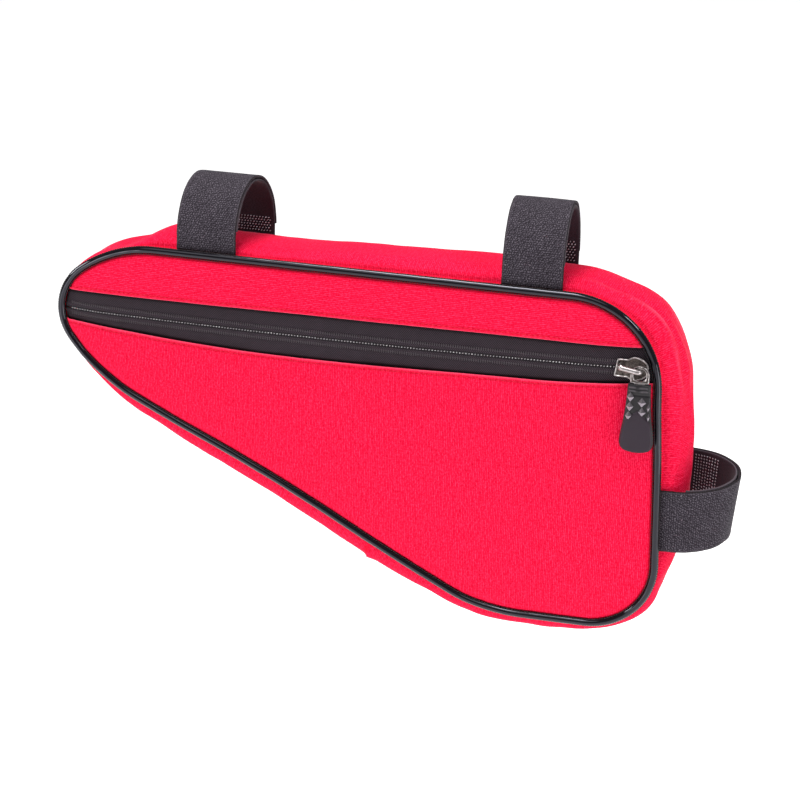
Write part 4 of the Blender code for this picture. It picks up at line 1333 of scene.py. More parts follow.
def coil():
    """The coil's own run behind the tapes: one turn after another, as a ribbed rounded bar."""
    rings_per_turn, sides = 6, 10
    xs = np.arange(ZIP_NOSE_X + 0.006, ZIP_REAR_X - 0.008, BAR_PITCH / rings_per_turn)
    points = []
    for i, x in enumerate(xs):
        swell = 0.86 + 0.14 * math.cos(2 * math.pi * i / rings_per_turn)
        at = np.array([[x, zip_line(x)]])
        deep = FRONT_SEAM - face_stand(at)[0] + TAPE_DEPTH + TAPE_WALL + LAYER_GAP + COIL_WALL / 2
        for j in range(sides):
            angle = 2 * math.pi * j / sides
            y = deep - math.sin(angle) * COIL_WALL / 2 * swell
            points.append((x, y, at[0, 1] + math.cos(angle) * COIL_WIDTH / 2 * swell))
    faces = grid_faces(len(xs), sides, flip=True)
    faces.append(tuple(range(sides)))
    faces.append(tuple(reversed(range(len(points) - sides, len(points)))))
    return plain_mesh("zip_coil_turns", points, faces)


dressed(coil(), zip_coil, "zip_coil", "bag", "zip_coil")

# The zip slider: die-cast and plated gunmetal grey. Its front plate has a thin raised rim round a
# sunk, pitted field, and carries the bridge that the puller hangs on.

SLIDER_NOSE_X = 0.140114
PLATE_LENGTH = 0.0155
PLATE_WIDTH = 0.0115
PLATE_WALL = 0.0014
POST_SETBACK = 0.002
POST_LENGTH = 0.005
POST_WIDTH = 0.0024
BRIDGE_SPAN = 0.0094
BRIDGE_RADIUS = 0.0011
BRIDGE_SLANT = 0.0016
BRIDGE_CORNER = 0.0013
KNOB_LENGTH = 0.0022
PIVOT = np.array([0.137014, -0.0321, -0.050938])
BRIDGE_Y = -0.0342
SLIDER_Z = PIVOT[2]
PLATE_OUTLINE = [
    (0.000, 0.62), (0.030, 0.72), (0.120, 0.77), (0.340, 0.77), (0.430, 0.86), (0.520, 0.98),
    (0.620, 1.00), (0.740, 0.94), (0.860, 0.78), (0.950, 0.56), (1.000, 0.30),
]
PLATE_LEAN = 0.16
RIM_PROFILE = [
    # how far inside the outline, and how far in front of the plate's own face
    (0.00022, -0.00118), (0.0, -0.00095), (0.0, -0.0002), (0.00010, 0.00008), (0.00026, 0.00016),
    (0.00046, 0.00010), (0.00062, -0.00010), (0.00085, -0.00034), (0.0014, -0.00040),
]


def paint_gunmetal(sheet):
    place = sheet.place()
    pits = sheet.noise(place, 3200.0, 3.0, 0.65)
    cloud = sheet.noise(place, 700.0, 2.0)
    sunk = sheet.attribute("sunk")
    grime = sheet.ramp(pits * 0.6 + cloud * 0.4, 0.38, 0.62)
    field = sheet.mixed(grime, (0.016, 0.012, 0.010), (0.15, 0.12, 0.11))
    rim = sheet.mixed(sheet.ramp(cloud, 0.3, 0.7), (0.30, 0.27, 0.27), (0.50, 0.46, 0.46))
    polish = sheet.attribute("polish")
    rim = sheet.mixed(polish, rim, (0.92, 0.87, 0.87))
    return {
        "Base Color": sheet.mixed(sunk, rim, field),
        "Metallic": 1.0 - sunk * 0.35,
        "Roughness": sunk * 0.20 + 0.30 + pits * 0.05,
        "Normal": sheet.bump(pits * (sunk * 0.98 + 0.02), 0.55, 0.00018),
    }


gunmetal = finished("gunmetal", paint_gunmetal)


def smooth_loop(points, count):
    """A closed rounded line through points, as evenly spaced points."""
    points = np.asarray(points, float)
    fine = []
    for i in range(len(points)):
        a, b, c, d = (points[(i + k) % len(points)] for k in (-1, 0, 1, 2))
        for t in np.arange(12) / 12:
            square, cube = 2 * a - 5 * b + 4 * c - d, 3 * b - a - 3 * c + d
            fine.append(0.5 * (2 * b + (c - a) * t + square * t**2 + cube * t**3))
    fine = np.array(fine + [fine[0]])
    run = np.concatenate([[0], np.cumsum(np.linalg.norm(np.diff(fine, axis=0), axis=1))])
    places = np.arange(count) * run[-1] / count
    return np.stack([np.interp(places, run, fine[:, 0]), np.interp(places, run, fine[:, 1])], axis=1)


def loop_inwards(loop):
    run = np.roll(loop, -1, axis=0) - np.roll(loop, 1, axis=0)
    normals = np.stack([-run[:, 1], run[:, 0]], axis=1)
    normals /= np.linalg.norm(normals, axis=1, keepdims=True)
    return normals if ((loop.mean(axis=0) - loop) * normals).sum() > 0 else -normals


def ringed_plate(name, loop, profile, face_y, back_y):
    """A flat piece from one outline: rings from its back edge round to its sunk middle."""
    inwards = loop_inwards(loop)
    count = len(loop)
    points, sunk = [], []
    for inset, front in profile:
        ring = loop + inwards * inset
        points += [(x, face_y - front, z) for x, z in ring]
        sunk += [1.0 if inset >= 0.0007 else 0.0] * count
    ring = loop + inwards * profile[0][0]
    points += [(x, back_y, z) for x, z in ring]
    sunk += [0.0] * count
    last = len(profile)
    faces = grid_faces(last, count)
    faces += [(last * count + i, last * count + (i + 1) % count, (i + 1) % count, i) for i in range(count)]
    faces.append(tuple((len(profile) - 1) * count + i for i in range(count)))
    faces.append(tuple(last * count + i for i in reversed(range(count))))
    plate = faced_outwards(plain_mesh(name, points, faces))
    set_attribute(plate, "sunk", sunk)
    set_attribute(plate, "polish", [0.0] * len(sunk))
    return plate


def bar_tube(name, path, radii, sides=14, line=0.0):
    """A closed round bar along a path in space. line is how dark a line of painted shade runs along its lower
    side, in the sunk attribute.
    """
    path = np.asarray(path, float)
    run = np.gradient(path, axis=0)
    points, sunk = [], []
    side = np.array([0.0, 0.0, 1.0])
    for place, tangent, radius in zip(path, run, radii):
        tangent = unit(tangent)
        side = unit(side - tangent * (side @ tangent))
        other = np.cross(tangent, side)
        for j in range(sides):
            angle = 2 * math.pi * j / sides
            points.append(place + radius * (math.cos(angle) * side + math.sin(angle) * other))
            # Painted shade along the lower side, kept in the sunk attribute with the real hollows.
            sunk.append(line * math.exp(-(((angle - 2.35) / 0.25) ** 2)))
    faces = grid_faces(len(path), sides)
    faces.append(tuple(reversed(range(sides))))
    faces.append(tuple(range(len(points) - sides, len(points))))
    bar = plain_mesh(name, points, faces)
    set_attribute(bar, "sunk", sunk)
    set_attribute(bar, "polish", [0.0] * len(sunk))
    return bar


def joined(name, *things):
    """Several meshes as one piece."""
    work = bmesh.new()
    for thing in things:
        work.from_mesh(thing.data)
    mesh = bpy.data.meshes.new(name)
    work.to_mesh(mesh)
    work.free()
    for thing in things:
        old = thing.data
        bpy.data.objects.remove(thing)
        bpy.data.meshes.remove(old)
    return placed(name, mesh)


def bridge_path():
    """Out from the plate, along the slider and back to the plate."""
    front = np.array([PIVOT[0] - BRIDGE_SPAN, SLIDER_Z + BRIDGE_SLANT])
    rear = np.array([PIVOT[0], SLIDER_Z])
    along = (rear - front) / np.linalg.norm(rear - front)
    foot = PLATE_FRONT + PLATE_WALL / 2
    bend = np.linspace(0, math.pi / 2, 8)
    path = [(front[0], foot, front[1])]
    for end, way, angles in ((front, along, bend), (rear, -along, bend[::-1])):
        for angle in angles:
            x, z = end + way * BRIDGE_CORNER * (1 - math.cos(angle))
            path.append((x, BRIDGE_Y + BRIDGE_CORNER * (1 - math.sin(angle)), z))
    path.append((rear[0], foot, rear[1]))
    return np.array(path)


slider_middle = np.array([[SLIDER_NOSE_X - PLATE_LENGTH, SLIDER_Z]])
PLATE_BACK = FRONT_SEAM - face_stand(slider_middle)[0] + TAPE_DEPTH - GAP
PLATE_FRONT = PLATE_BACK - PLATE_WALL


def slider():
    half = [(along * PLATE_LENGTH, width * PLATE_WIDTH / 2) for along, width in PLATE_OUTLINE]
    outline = half + [(along, -across) for along, across in reversed(half)]
    tail = SLIDER_NOSE_X - PLATE_LENGTH
    lean = [PLATE_LEAN * max(0.0, 1 - along / PLATE_LENGTH / 0.4) for along, _ in outline]
    spots = [
        (tail + along + slant * (across + 0.001), SLIDER_Z + across)
        for (along, across), slant in zip(outline, lean)
    ]
    loop = smooth_loop(spots, 112)
    plate = ringed_plate("slider_plate", loop, RIM_PROFILE, PLATE_FRONT, PLATE_BACK)
    flat = [(0.0003, -0.0003), (0.0, 0.0), (0.0003, 0.0003), (0.0012, 0.0003)]
    under_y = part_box("zip_slider")[1][1] - GAP
    under = ringed_plate("slider_under", loop, flat, under_y - PLATE_WALL + 0.0003, under_y)
    post_x = SLIDER_NOSE_X - POST_SETBACK - POST_LENGTH / 2
    post_line = [(post_x, PLATE_BACK - 0.0004, SLIDER_Z), (post_x, under_y - 0.0004, SLIDER_Z)]
    post = bar_tube("slider_post", post_line, [POST_WIDTH / 2] * 2)
    path = bridge_path()
    # The bridge bar carries a line of painted shade along its lower side.
    bar = bar_tube("bridge_bar", path, [BRIDGE_RADIUS * 1.15] * len(path), 28, 0.8)
    set_attribute(bar, "polish", [1.0] * len(bar.data.vertices))
    ends = []
    swell = np.sqrt(np.clip(1 - (2 * np.linspace(0.02, 0.98, 9) - 1) ** 2, 0.02, 1))
    for at, size in ((path[5], 1.32), (path[-6], 1.12)):
        knob = [at + np.array([0, (s - 0.5) * KNOB_LENGTH, 0]) for s in np.linspace(0, 1, 9)]
        ends.append(bar_tube("bridge_knob", knob, BRIDGE_RADIUS * size * swell, 28))
    return joined("slider", plate, under, post, bar, *ends)


dressed(slider(), gunmetal, "gunmetal", "bag", "zip_slider")

# The puller's ring: a stamped and plated link with a raised rim at each edge and a dark groove
# between them. Its square foot holds the tongue that the grip is moulded on.

RING_WALL = 0.0014
RING_HOLE = 0.0031
RING_RIM = 0.0013
RING_FOOT = 0.0009
TONGUE_WIDTH = 0.005
TONGUE_LENGTH = 0.006
RING_CENTRE = PIVOT + np.array([0, 0, -(RING_HOLE - BRIDGE_RADIUS - GAP)])
RING_FOOT_Z = RING_CENTRE[2] - RING_HOLE - RING_FOOT
RING_ROWS = [
    # share of the way from the outer edge to the hole, height over half the ring's wall, sunk
    (0.0, -1.0, 0.0), (0.0, 0.55, 0.0), (0.05, 0.85, 0.0), (0.14, 1.0, 0.0), (0.24, 0.95, 0.0),
    (0.32, 0.55, 1.0), (0.55, 0.42, 1.0), (0.68, 0.55, 1.0), (0.76, 0.95, 0.0), (0.86, 1.0, 0.0),
    (0.96, 0.85, 0.0), (1.0, 0.55, 0.0), (1.0, -1.0, 0.0),
]


def ring():
    count = 88
    centre = np.array([RING_CENTRE[0], RING_CENTRE[2]])
    outer, inner = [], []
    reach = RING_HOLE + RING_RIM
    foot = centre[1] - RING_FOOT_Z
    for i in range(count):
        angle = 2 * math.pi * i / count
        way = np.array([math.cos(angle), math.sin(angle)])
        far = reach
        if way[1] < 0:
            far = min(reach / max(abs(way[0]), 1e-6), foot / -way[1])
        outer.append(centre + way * far)
        inner.append(centre + way * RING_HOLE)
    outer, inner = np.array(outer), np.array(inner)
    points, sunk = [], []
    for share, height, deep in RING_ROWS:
        flat = outer + (inner - outer) * share
        points += [(x, PIVOT[1] - height * RING_WALL / 2, z) for x, z in flat]
        sunk += [deep] * count
    link = plain_mesh("ring_link", points, grid_faces(len(RING_ROWS), count, round_rows=True))
    set_attribute(link, "sunk", sunk)
    half = TONGUE_WIDTH / 2
    low, high = RING_FOOT_Z - TONGUE_LENGTH, RING_FOOT_Z + 0.0003
    loop = [(-half, low), (half, low), (half, high), (-half, high)]
    loop = np.array([(PIVOT[0] + x, z) for x, z in loop])
    flat = [(0.0002, -0.0002), (0, 0), (0.0, 0.0009), (0.0002, 0.0011)]
    tongue = ringed_plate("ring_tongue", loop, flat, PIVOT[1] + 0.0004, PIVOT[1] + 0.0006)
    return faced_outwards(joined("ring", link, tongue))


dressed(ring(), gunmetal, "gunmetal", "puller", "puller_ring")

# The grip: soft rubber moulded over the tongue. Its collar has two ribs, a field of small facets
# runs over its neck, and a smooth drop-shaped pad takes the thumb.

GRIP_LENGTH = 0.0338
GRIP_WIDTH = 0.0161
GRIP_WALL = 0.0034
PAD_RISE = 0.0004
PAD_CUSHION = 0.00022
PAD_SLOPE = 0.0007
MOAT_WIDTH = 0.0003
MOAT_DIP = 0.00025
GRIP_TOP = RING_FOOT_Z - GAP
GRIP_OUTLINE = np.array([
    (0.00, 0.66), (0.14, 0.68), (0.34, 0.74), (0.52, 0.82), (0.66, 0.92), (0.79, 0.99),
    (0.86, 1.00), (0.92, 0.93), (0.96, 0.77), (0.985, 0.52), (1.00, 0.20),
])
PAD_OUTLINE = [
    (0.375, 0.02), (0.43, 0.30), (0.49, 0.56), (0.545, 0.75), (0.62, 0.83), (0.72, 0.895),
    (0.81, 0.945), (0.87, 0.95), (0.92, 0.87), (0.955, 0.70), (0.978, 0.46), (0.988, 0.20),
]
Rib = namedtuple("Rib", "down low high")
COLLAR_RIBS = [
    Rib(0.0014, -0.92, -0.20), Rib(0.0014, 0.06, 0.86),
    Rib(0.0031, -0.92, -0.14), Rib(0.0031, 0.12, 0.86),
]
RIB_RISE = 0.00055
RIB_WIDTH = 0.00042
RIB_FADE = 0.12
WAIST_DOWN = 0.0051
WAIST_WIDTH = 0.00035
WAIST_DIP = 0.0003


def paint_grip_rubber(sheet):
    place = sheet.place()
    grain = sheet.noise(place, 5200.0, 3.0, 0.6)
    cloud = sheet.noise(place, 260.0, 2.0)
    worn = sheet.attribute("worn")
    shade = sheet.ramp(cloud * 0.6 + grain * 0.4, 0.3, 0.7)
    body = sheet.mixed(shade, (0.006, 0.005, 0.007), (0.014, 0.011, 0.014))
    pad = sheet.attribute("pad")
    body = sheet.mixed(pad, body, sheet.mixed(grain, (0.016, 0.009, 0.016), (0.024, 0.014, 0.024)))
    return {
        # The worn attribute lightens the collar's ribs and the facets as painted highlight.
        "Base Color": sheet.mixed(worn, body, (0.30, 0.26, 0.30)),
        "Roughness": 0.34 + pad * 0.18 + grain * 0.08,
        "Normal": sheet.bump(grain, 0.15, 0.00010),
        "Specular IOR Level": 0.30,
    }


grip_rubber = finished("grip_rubber", paint_grip_rubber)


def grip_half_width(share):
    return np.interp(share, *GRIP_OUTLINE.T) * GRIP_WIDTH / 2


def pad_loop():
    half = [(width * GRIP_WIDTH / 2, along * GRIP_LENGTH) for along, width in PAD_OUTLINE]
    return smooth_loop(half + [(-across, along) for across, along in reversed(half)], 140)


def grip_relief(across, down, share):
    """What stands out from the grip's front: the collar's ribs and the pad. across is -1 to 1."""
    x = across * grip_half_width(share)
    points = np.stack([x, down], axis=1)
    loop = pad_loop()
    inside = is_inside(points, loop)
    distance = loop_distance(points, loop) * np.where(inside, 1, -1)
    pad = (PAD_RISE + PAD_CUSHION) * eased((distance + 0.00015) / PAD_SLOPE)
    pad = pad - MOAT_DIP * np.exp(-(((distance + MOAT_WIDTH) / MOAT_WIDTH) ** 2))
    ribs = np.zeros(len(x))
    for rib in COLLAR_RIBS:
        span = eased((across - rib.low) / RIB_FADE) * eased((rib.high - across) / RIB_FADE)
        ribs = np.maximum(ribs, RIB_RISE * span * np.exp(-(((down - rib.down) / RIB_WIDTH) ** 2)))
    waist = -WAIST_DIP * np.exp(-(((down - WAIST_DOWN) / WAIST_WIDTH) ** 2))
    return pad + ribs + waist, eased((distance + 0.0002) / 0.0005), ribs / RIB_RISE


def grip():
    rows, sides = 124, 58
    tip = 1 - 0.045 * np.linspace(0.9, 0.0, 9) ** 1.6
    shares = np.concatenate([[0.0, 0.004, 0.012], np.linspace(0.022, 0.955, rows - 12), tip])
    turns = 2 * math.pi * np.arange(2 * sides) / (2 * sides)
    points, padded_share, highlight_share = [], [], []
    for share in shares:
        half = grip_half_width(share)
        end = min(1.0, share / 0.012 + 0.55)
        if share > 0.95:
            end = min(1.0, (1 - share) / 0.05 + 0.25) ** 0.5
        cosine, sine = np.cos(turns), np.sin(turns)
        across = np.sign(cosine) * np.abs(cosine) ** 0.55
        thick = np.sign(sine) * np.abs(sine) ** 0.34 * GRIP_WALL / 2 * end
        down = np.full(len(across), share * GRIP_LENGTH)
        relief, edge, rib = grip_relief(across, down, share)
        front = np.clip(sine / 0.35, 0, 1)
        y = PIVOT[1] - thick - relief * front
        points.append(np.stack([PIVOT[0] + across * half, y, GRIP_TOP - down], axis=1))
        padded_share.append(edge * front)
        # Painted highlight along the collar's ribs.
        highlight_share.append(0.22 * rib**2 * front)
    count = 2 * sides
    faces = grid_faces(len(shares), count)
    faces.append(tuple(reversed(range(count))))
    faces.append(tuple(range((len(shares) - 1) * count, len(shares) * count)))
    body = faced_outwards(plain_mesh("grip", np.concatenate(points), faces))
    set_attribute(body, "pad", np.concatenate(padded_share))
    set_attribute(body, "worn", np.concatenate(highlight_share))
    return body


dressed(grip(), grip_rubber, "grip_rubber", "puller", "puller_grip")

# The facets on the grip's neck: raised four-sided points in three columns, each a little wider
# than tall, with a sharp crease across its middle.

Facet = namedtuple("Facet", "across down width height")
FACETS = [
    Facet(-0.0036, 0.0060, 0.0034, 0.0047), Facet(-0.0037, 0.0107, 0.0035, 0.0047),
    Facet(-0.0040, 0.0153, 0.0035, 0.0046), Facet(0.0019, 0.0083, 0.0040, 0.0047),
    Facet(0.0021, 0.0130, 0.0038, 0.0046), Facet(0.0050, 0.0106, 0.0014, 0.0040),
    Facet(0.0053, 0.0152, 0.0014, 0.0040),
]
FACET_RISE = 0.0014


def facet_tree():
    """Low four-sided points on a set of spots, each with its own width and height."""
    sheet, given = geometry_tree("facets", ["Rise"])
    cone = {"Vertices": 4, "Radius Top": 0.02, "Radius Bottom": 0.5, "Depth": 1.0}
    shape = sheet.node("GeometryNodeMeshCone", {"fill_type": "NGON"}, cone)
    sockets = {"Geometry": shape, "Rotation": (math.pi / 2, 0.0, 0.0)}
    shape = sheet.node("GeometryNodeTransform", {}, sockets)
    size = sheet.node("GeometryNodeInputNamedAttribute", {"data_type": "FLOAT_VECTOR"}, {"Name": "size"})
    width = sheet.node("ShaderNodeSeparateXYZ", {}, {0: size}, (0, 1))
    scale = sheet.node("ShaderNodeCombineXYZ", {}, {0: width[0], 1: given["Rise"], 2: width[1]})
    spots = sheet.node("GeometryNodeMeshToPoints", {}, {0: given["Geometry"]})
    sockets = {"Points": spots, "Instance": shape, "Scale": scale}
    made = sheet.node("GeometryNodeInstanceOnPoints", {}, sockets)
    real = sheet.node("GeometryNodeRealizeInstances", {}, {0: made})
    normal = sheet.node("GeometryNodeInputNormal")
    tilt = sheet.node("ShaderNodeSeparateXYZ", {}, {0: normal}, 2)
    # Painted reflection: faces turned down are much lighter, faces turned up a little lighter.
    highlight_share = sheet.ramp(0.0 - tilt, 0.05, 0.25) + sheet.ramp(tilt, 0.05, 0.25) * 0.16
    sockets = {"Geometry": real, "Name": "worn", "Value": highlight_share}
    kept = sheet.node("GeometryNodeStoreNamedAttribute", {"data_type": "FLOAT", "domain": "FACE"}, sockets)
    painted = sheet.node("GeometryNodeSetMaterial", {}, {"Geometry": kept, "Material": given["Finish"]})
    sheet.node("NodeGroupOutput", {}, {0: painted}, None)
    return sheet.tree


def facets():
    spots = [(PIVOT[0] + f.across, PIVOT[1] - GRIP_WALL / 2 - 0.0002, GRIP_TOP - f.down) for f in FACETS]
    mesh = bpy.data.meshes.new("grip_facets")
    mesh.from_pydata(spots, [], [])
    attribute = mesh.attributes.new("size", "FLOAT_VECTOR", "POINT")
    sizes = np.array([(f.width, f.height, 0) for f in FACETS], np.float32)
    attribute.data.foreach_set("vector", sizes.ravel())
    return grown(placed("grip_facets", mesh), facet_tree(), grip_rubber, Rise=FACET_RISE)


dressed(facets(), grip_rubber, "grip_rubber", "puller")

# The three straps: hook-and-loop tape of black woven nylon, sewn into both seams of the gusset.
# The outer layer comes from the front over the tube, the inner one from the back under it.

STRAP_WIDTH = 0.031
STRAP_WALL = 0.0016
SHOWN_WALL = 0.0012
LOOP_RISE = 0.039
STRAP_LEG = 0.2
INNER_END = 0.29
STRAP_COLUMNS = 30
STRAP_GRAIN = 0.0011
FREE_RISE = 0.006
CUP_RISE = 0.00035
WOBBLE_RISE = 0.00016
# How thick the band is over its half width: a little thicker beside its edge, and round at it.
SELVEDGE = np.array([(0, 1.0), (0.43, 1.0), (0.46, 1.10), (0.488, 0.92), (0.5, 0.45)])
WEAVE_ROW = 0.00110
WEAVE_STEP = 0.00130
LINING = 0.5


def paint_webbing(sheet):
    """The woven side, and past v = LINING / 2 the smooth side that lies on the tube."""
    u, v = laid_out(sheet)
    inner = sheet.ramp(v, LINING / 2, LINING / 2 + 0.001)
    drift = sheet.noise(flat_place(sheet, u, v, 9.0), 640.0, 1.0)
    row = u / WEAVE_ROW + drift * 1.3
    column = v / WEAVE_STEP + drift * 1.6
    dash = sheet.maths("SINE", (column + row * 0.5) * 2 * math.pi) * 0.5 + 0.5
    line = sheet.maths("ABSOLUTE", sheet.maths("SINE", row * math.pi))
    fibre = sheet.noise(flat_place(sheet, u * 1.5, v * 0.8), 1500.0, 2.0, 0.6)
    mottle = sheet.noise(flat_place(sheet, u, v, 4.0), 90.0, 2.0)
    shade = dash * line * 0.34 + fibre * 0.95 + mottle * 0.12
    from_middle = sheet.maths("ABSOLUTE", v)
    selvedge_highlight = sheet.ramp(from_middle, STRAP_WIDTH / 2 - 0.0013, STRAP_WIDTH / 2 - 0.0009)
    cut = sheet.ramp(from_middle, STRAP_WIDTH / 2 - 0.0005, STRAP_WIDTH / 2 - 0.0003)
    woven = sheet.mixed(sheet.ramp(shade, 0.42, 0.70), (0.005, 0.003, 0.005), (0.033, 0.026, 0.036))
    woven = sheet.mixed(sheet.ramp(shade, 0.68, 0.98), woven, (0.13, 0.112, 0.135))
    # A painted highlight lightens the band beside each edge.
    woven = sheet.mixed(selvedge_highlight * 0.35, woven, (0.060, 0.050, 0.060))
    pale = sheet.attribute("pale")
    woven = sheet.mixed(cut * 0.85, woven, sheet.mixed(pale, (0.006, 0.005, 0.006), (0.085, 0.072, 0.085)))
    smooth = sheet.mixed(sheet.ramp(fibre, 0.3, 0.7), (0.014, 0.010, 0.014), (0.038, 0.028, 0.038))
    relief = shade * (1 - inner) + fibre * 0.3 * inner
    return {
        "Base Color": sheet.mixed(inner, woven, smooth),
        "Roughness": 0.8,
        "Normal": sheet.bump(relief, 0.55, 0.00028),
        "Sheen Weight": 0.05,
        "Sheen Roughness": 0.4,
        "Specular IOR Level": 0.18,
    }


black_webbing = finished("black_webbing", paint_webbing)


def arch(half_depth, rise, offset, steps=44):
    """A loop's line from its front foot to its back foot: straight legs under a half ellipse."""
    leg = STRAP_LEG * rise
    tall = rise - leg
    path = [(-half_depth - offset, leg * share) for share in np.linspace(0, 1, 7)[:-1]]
    for step in range(steps + 1):
        angle = math.pi * step / steps
        facing = unit(np.array([-math.cos(angle) / half_depth, math.sin(angle) / tall]))
        y = -half_depth * math.cos(angle) + offset * facing[0]
        path.append((y, leg + tall * math.sin(angle) + offset * facing[1]))
    path += [(half_depth + offset, leg * share) for share in np.linspace(1, 0, 7)[1:]]
    return path


def cut_short(path, end):
    """Drops a path's last stretch, from where its leg comes down to a height."""
    kept = [point for i, point in enumerate(path) if i < len(path) / 2 or point[1] > end]
    last, following = kept[-1], path[len(kept)]
    share = (last[1] - end) / (last[1] - following[1])
    return kept + [(last[0] + (following[0] - last[0]) * share, end)]


def strap_frame(row):
    start, end = PLACES[row.start], PLACES[row.end]
    along = unit(end - start)
    normal = outward(along)
    base = start * (1 - row.share) + end * row.share + normal * (VALLEY_RISE + GAP)
    layer_step = STRAP_WALL + GAP
    front_y = FRONT_SEAM + PIPING_RADIUS + GAP + STRAP_WALL / 2
    back_y = BACK_SEAM - STRAP_WALL / 2
    half_depth = (back_y - (front_y + layer_step)) / 2
    return base, along, normal, half_depth, back_y - half_depth, layer_step


def strap_point(row, frame_of, y, rise, share):
    base, along, normal, half_depth, middle, _ = frame_of
    behind = 0.5 + y / (2 * half_depth)
    reach = rise * (1 + row.flare * share) - BACK_INSET * behind
    flat = base + normal * reach + along * STRAP_WIDTH * (row.width * share + row.skew * behind)
    return np.array([flat[0], middle + y, flat[1]])


def webbing(name, row, path, node, pale):
    """One layer: a flat woven band with rounded selvedges, a little uneven along its length."""
    frame_of = strap_frame(row)
    path = resampled(np.array(path), STRAP_GRAIN)
    count = len(path)
    rim = np.array([0.448, 0.470, 0.488, 0.5])
    shares = np.concatenate([-rim[::-1], np.linspace(-0.42, 0.42, STRAP_COLUMNS), rim])
    half_wall = np.interp(np.abs(shares), *SELVEDGE.T) * SHOWN_WALL / 2
    middle = np.array([[strap_point(row, frame_of, y, rise, share) for share in shares] for y, rise in path])
    facing = np.cross(np.gradient(middle, axis=1), np.gradient(middle, axis=0))
    facing /= np.linalg.norm(facing, axis=2, keepdims=True)
    normal = frame_of[2]
    if facing[count // 2, len(shares) // 2] @ np.array([normal[0], 0, normal[1]]) < 0:
        facing = -facing
    free = np.array([min(1.0, rise / FREE_RISE) for _, rise in path])
    places = np.stack([path[:, 0] * 3 + row.share, path[:, 1] * 2], axis=1)
    cup = CUP_RISE * waves(places, 0.03, 6.0)[:, None] * free[:, None]
    wobble = WOBBLE_RISE * waves(places + 1.0, 0.011, 2.5)[:, None] * free[:, None]
    wobble = wobble * (2 * np.abs(shares)[None, :]) ** 2
    middle = middle + facing * (cup * (1 - (2 * shares[None, :]) ** 2) + wobble)[:, :, None]
    top = middle + facing * half_wall[None, :, None]
    under = (middle - facing * half_wall[None, :, None])[:, ::-1]
    grid = np.concatenate([top, under], axis=1)
    round_count = grid.shape[1]
    lengths = np.concatenate([[0], np.cumsum(np.linalg.norm(np.diff(path, axis=0), axis=1))])
    across = np.concatenate([shares * STRAP_WIDTH, LINING + shares[::-1] * STRAP_WIDTH])
    faces, corners = grid_faces(count, round_count, flip=True), []
    for near, far in zip(lengths, lengths[1:]):
        for low, high in zip(across, np.roll(across, -1)):
            if abs(high - low) > LINING / 10:
                high = low
            corners += [(near, low), (far, low), (far, high), (near, high)]
    faces.append(tuple(range(round_count)))
    corners += [(0.0, across[j]) for j in range(round_count)]
    faces.append(tuple((count - 1) * round_count + j for j in reversed(range(round_count))))
    corners += [(lengths[-1], across[j]) for j in reversed(range(round_count))]
    band = plain_mesh(name, grid.reshape(-1, 3), faces)
    set_uvs(band.data, corners)
    faced_outwards(band)
    set_attribute(band, "pale", [pale] * len(band.data.vertices))
    return dressed(band, black_webbing, "black_webbing", "bag", node)


def inside_rise(row):
    return row.rise * LOOP_RISE - STRAP_WALL * 1.5 - VALLEY_RISE - 2 * GAP


def strap(row):
    _, _, _, half_depth, _, layer_step = strap_frame(row)
    inner_rise = inside_rise(row)
    inner = [(-y, rise) for y, rise in arch(half_depth, inner_rise, 0)]
    inner = cut_short(inner, INNER_END * LOOP_RISE)
    outer = cut_short(arch(half_depth, inner_rise, layer_step), row.free_end * LOOP_RISE)
    webbing(f"{row.name}_inside", row, inner, f"{row.name}_inner", 1.0)
    webbing(f"{row.name}_outside", row, outer, f"{row.name}_outer", 0.0)


for row in STRAPS:
    strap(row)

# The hooks, at the foot of each strap's inside: short stiff nylon hooks in rows.

HOOK_PITCH = 0.00155
HOOK_ROWS = {"front_strap": 6, "rear_strap": 8, "seat_strap": 9}
HOOK_START = {"front_strap": 0.0042, "rear_strap": 0.0050, "seat_strap": 0.0120}
HOOK_MARGIN = 0.0022


hook_shine = {"Roughness": 0.38, "Specular IOR Level": 0.6}
hook_nylon = flecked("hook_nylon", 1500.0, 1.0, (0.18, 0.15, 0.18), (0.62, 0.56, 0.62), hook_shine)


def hook_lines():
    """Rows across each strap's inside, climbing from its foot round the start of the arch."""
    lines, facings = [], []
    for row in STRAPS:
        frame_of = strap_frame(row)
        _, _, normal, half_depth, _, _ = frame_of
        leg = STRAP_LEG * inside_rise(row)
        tall = inside_rise(row) - leg
        for k in range(HOOK_ROWS[row.name]):
            rise = HOOK_START[row.name] + k * HOOK_PITCH * 0.9
            climb = max(0.0, rise - leg) / tall
            y = half_depth * math.sqrt(1 - climb**2)
            out = unit(np.array([y / half_depth**2, climb / tall]))
            inward = -np.array([out[1] * normal[0], out[0], out[1] * normal[1]])
            first = -0.5 + (HOOK_MARGIN + HOOK_PITCH / 2 * (k % 2)) / STRAP_WIDTH
            shares = np.linspace(first, 0.5 - HOOK_MARGIN / STRAP_WIDTH, 60)
            line = [strap_point(row, frame_of, y, rise, share) for share in shares]
            lines.append(np.array(line) + inward * (SHOWN_WALL / 2 + 0.0004))
            facings.append(np.tile(inward, (len(line), 1)))
    return lines, facings


sizes = {"Pitch": HOOK_PITCH, "Length": 0.00095, "Width": 0.00060, "Height": 0.0006, "Lean": 0.7}
beaded("strap_hooks", *hook_lines(), hook_nylon, "black_webbing", **sizes)

# The studio: the bag hangs in soft even light from above and in front, over a pale floor.

TARGET = Vector((0.01198, 0.0, -0.089149))
CAMERA_DISTANCE = 0.969
CAMERA_LENS = 86.76
TURN, LIFT, ROLL = (math.radians(angle) for angle in (16.1, 18.3, 1.35))
FLOOR_Z = -0.42


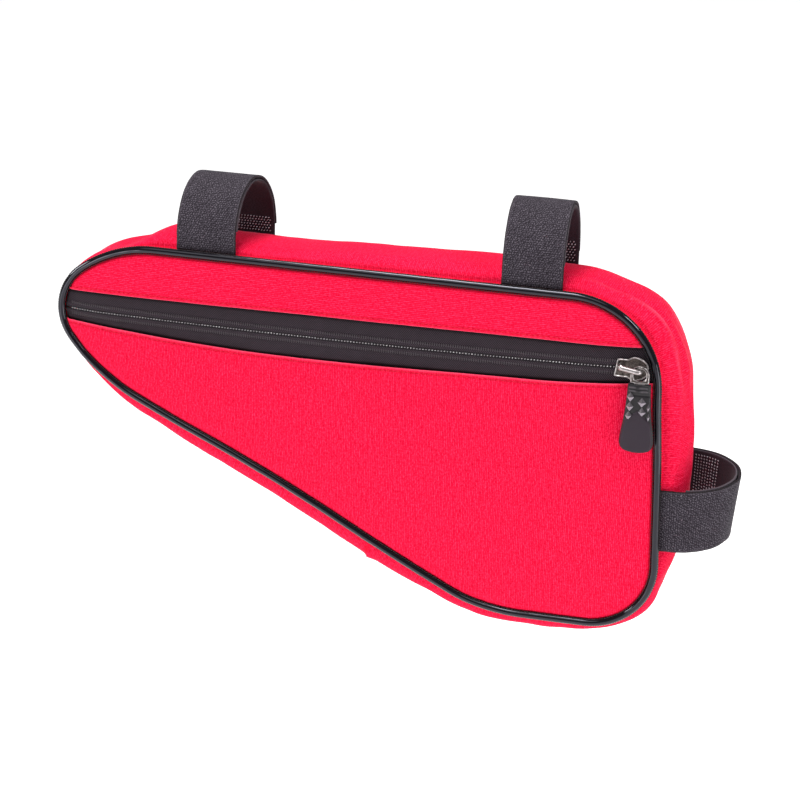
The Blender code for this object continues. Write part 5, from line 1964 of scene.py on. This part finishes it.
def camera():
    back = Vector((math.sin(TURN) * math.cos(LIFT), -math.cos(TURN) * math.cos(LIFT), math.sin(LIFT)))
    right = Vector((math.cos(TURN), math.sin(TURN), 0))
    above = back.cross(right)
    rolled_right = right * math.cos(ROLL) + above * math.sin(ROLL)
    rolled_up = above * math.cos(ROLL) - right * math.sin(ROLL)
    made = placed("camera", bpy.data.cameras.new("camera"))
    axes = Matrix((rolled_right, rolled_up, back)).transposed()
    made.matrix_world = Matrix.Translation(TARGET + back * CAMERA_DISTANCE) @ axes.to_4x4()
    made.data.lens = CAMERA_LENS
    made.data.sensor_width = 36
    made.data.clip_start = 0.02
    made.data.clip_end = 20
    bpy.context.scene.camera = made


def soft_light(name, place, wide, deep, power):
    lamp = bpy.data.lights.new(name, "AREA")
    lamp.shape = "RECTANGLE"
    lamp.size = wide
    lamp.size_y = deep
    lamp.energy = power
    made = placed(name, lamp)
    made.location = place
    made.rotation_euler = (Vector(place) - TARGET).to_track_quat("Z", "Y").to_euler()


def paint_floor(sheet):
    place = sheet.place()
    cloud = sheet.noise(place, 3.0, 2.0)
    return {
        "Base Color": sheet.mixed(cloud, (0.95, 0.95, 0.95), (0.98, 0.98, 0.98)),
        "Roughness": 0.9,
        "Emission Color": (1.0, 1.0, 1.0, 1.0),
        "Emission Strength": 0.56,
    }


def studio():
    floor_points = [(-6, -6, FLOOR_Z), (6, -6, FLOOR_Z), (6, 6, FLOOR_Z), (-6, 6, FLOOR_Z)]
    floor = plain_mesh("floor", floor_points, [(0, 1, 2, 3)])
    floor.data.materials.append(finished("pale_floor", paint_floor))
    floor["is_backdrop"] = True
    soft_light("overhead", (-0.20, -0.10, 1.25), 1.2, 0.28, 18.0)
    soft_light("upper_rear", (0.95, -0.20, 0.80), 0.30, 0.30, 6.0)
    soft_light("upper_front", (-1.15, -0.25, 0.35), 0.30, 0.30, 6.0)
    soft_light("low_rear", (1.00, -0.45, -0.19), 0.18, 0.44, 2.6)
    soft_light("low_front", (-0.65, -0.95, -0.19), 0.18, 0.44, 1.6)
    sky_lamp = bpy.data.lights.new("sky_lamp", "SUN")
    sky_lamp.energy = 0.88
    sky_lamp.angle = math.radians(45)
    sky = placed("sky_lamp", sky_lamp)
    sky.rotation_euler = (math.radians(30), 0, math.radians(-14))
    world = bpy.data.worlds.new("studio")
    bpy.context.scene.world = world
    world.use_nodes = True
    world.node_tree.nodes["Background"].inputs[0].default_value = (1, 1, 1, 1)
    world.node_tree.nodes["Background"].inputs[1].default_value = 0.22
    bpy.context.scene.view_settings.view_transform = "Standard"
    bpy.context.scene.view_settings.look = "None"


camera()
studio()

sizes = {"cad": [list(map(float, corner)) for corner in cad_box]}
sizes["visual"] = [list(map(float, corner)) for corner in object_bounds()]
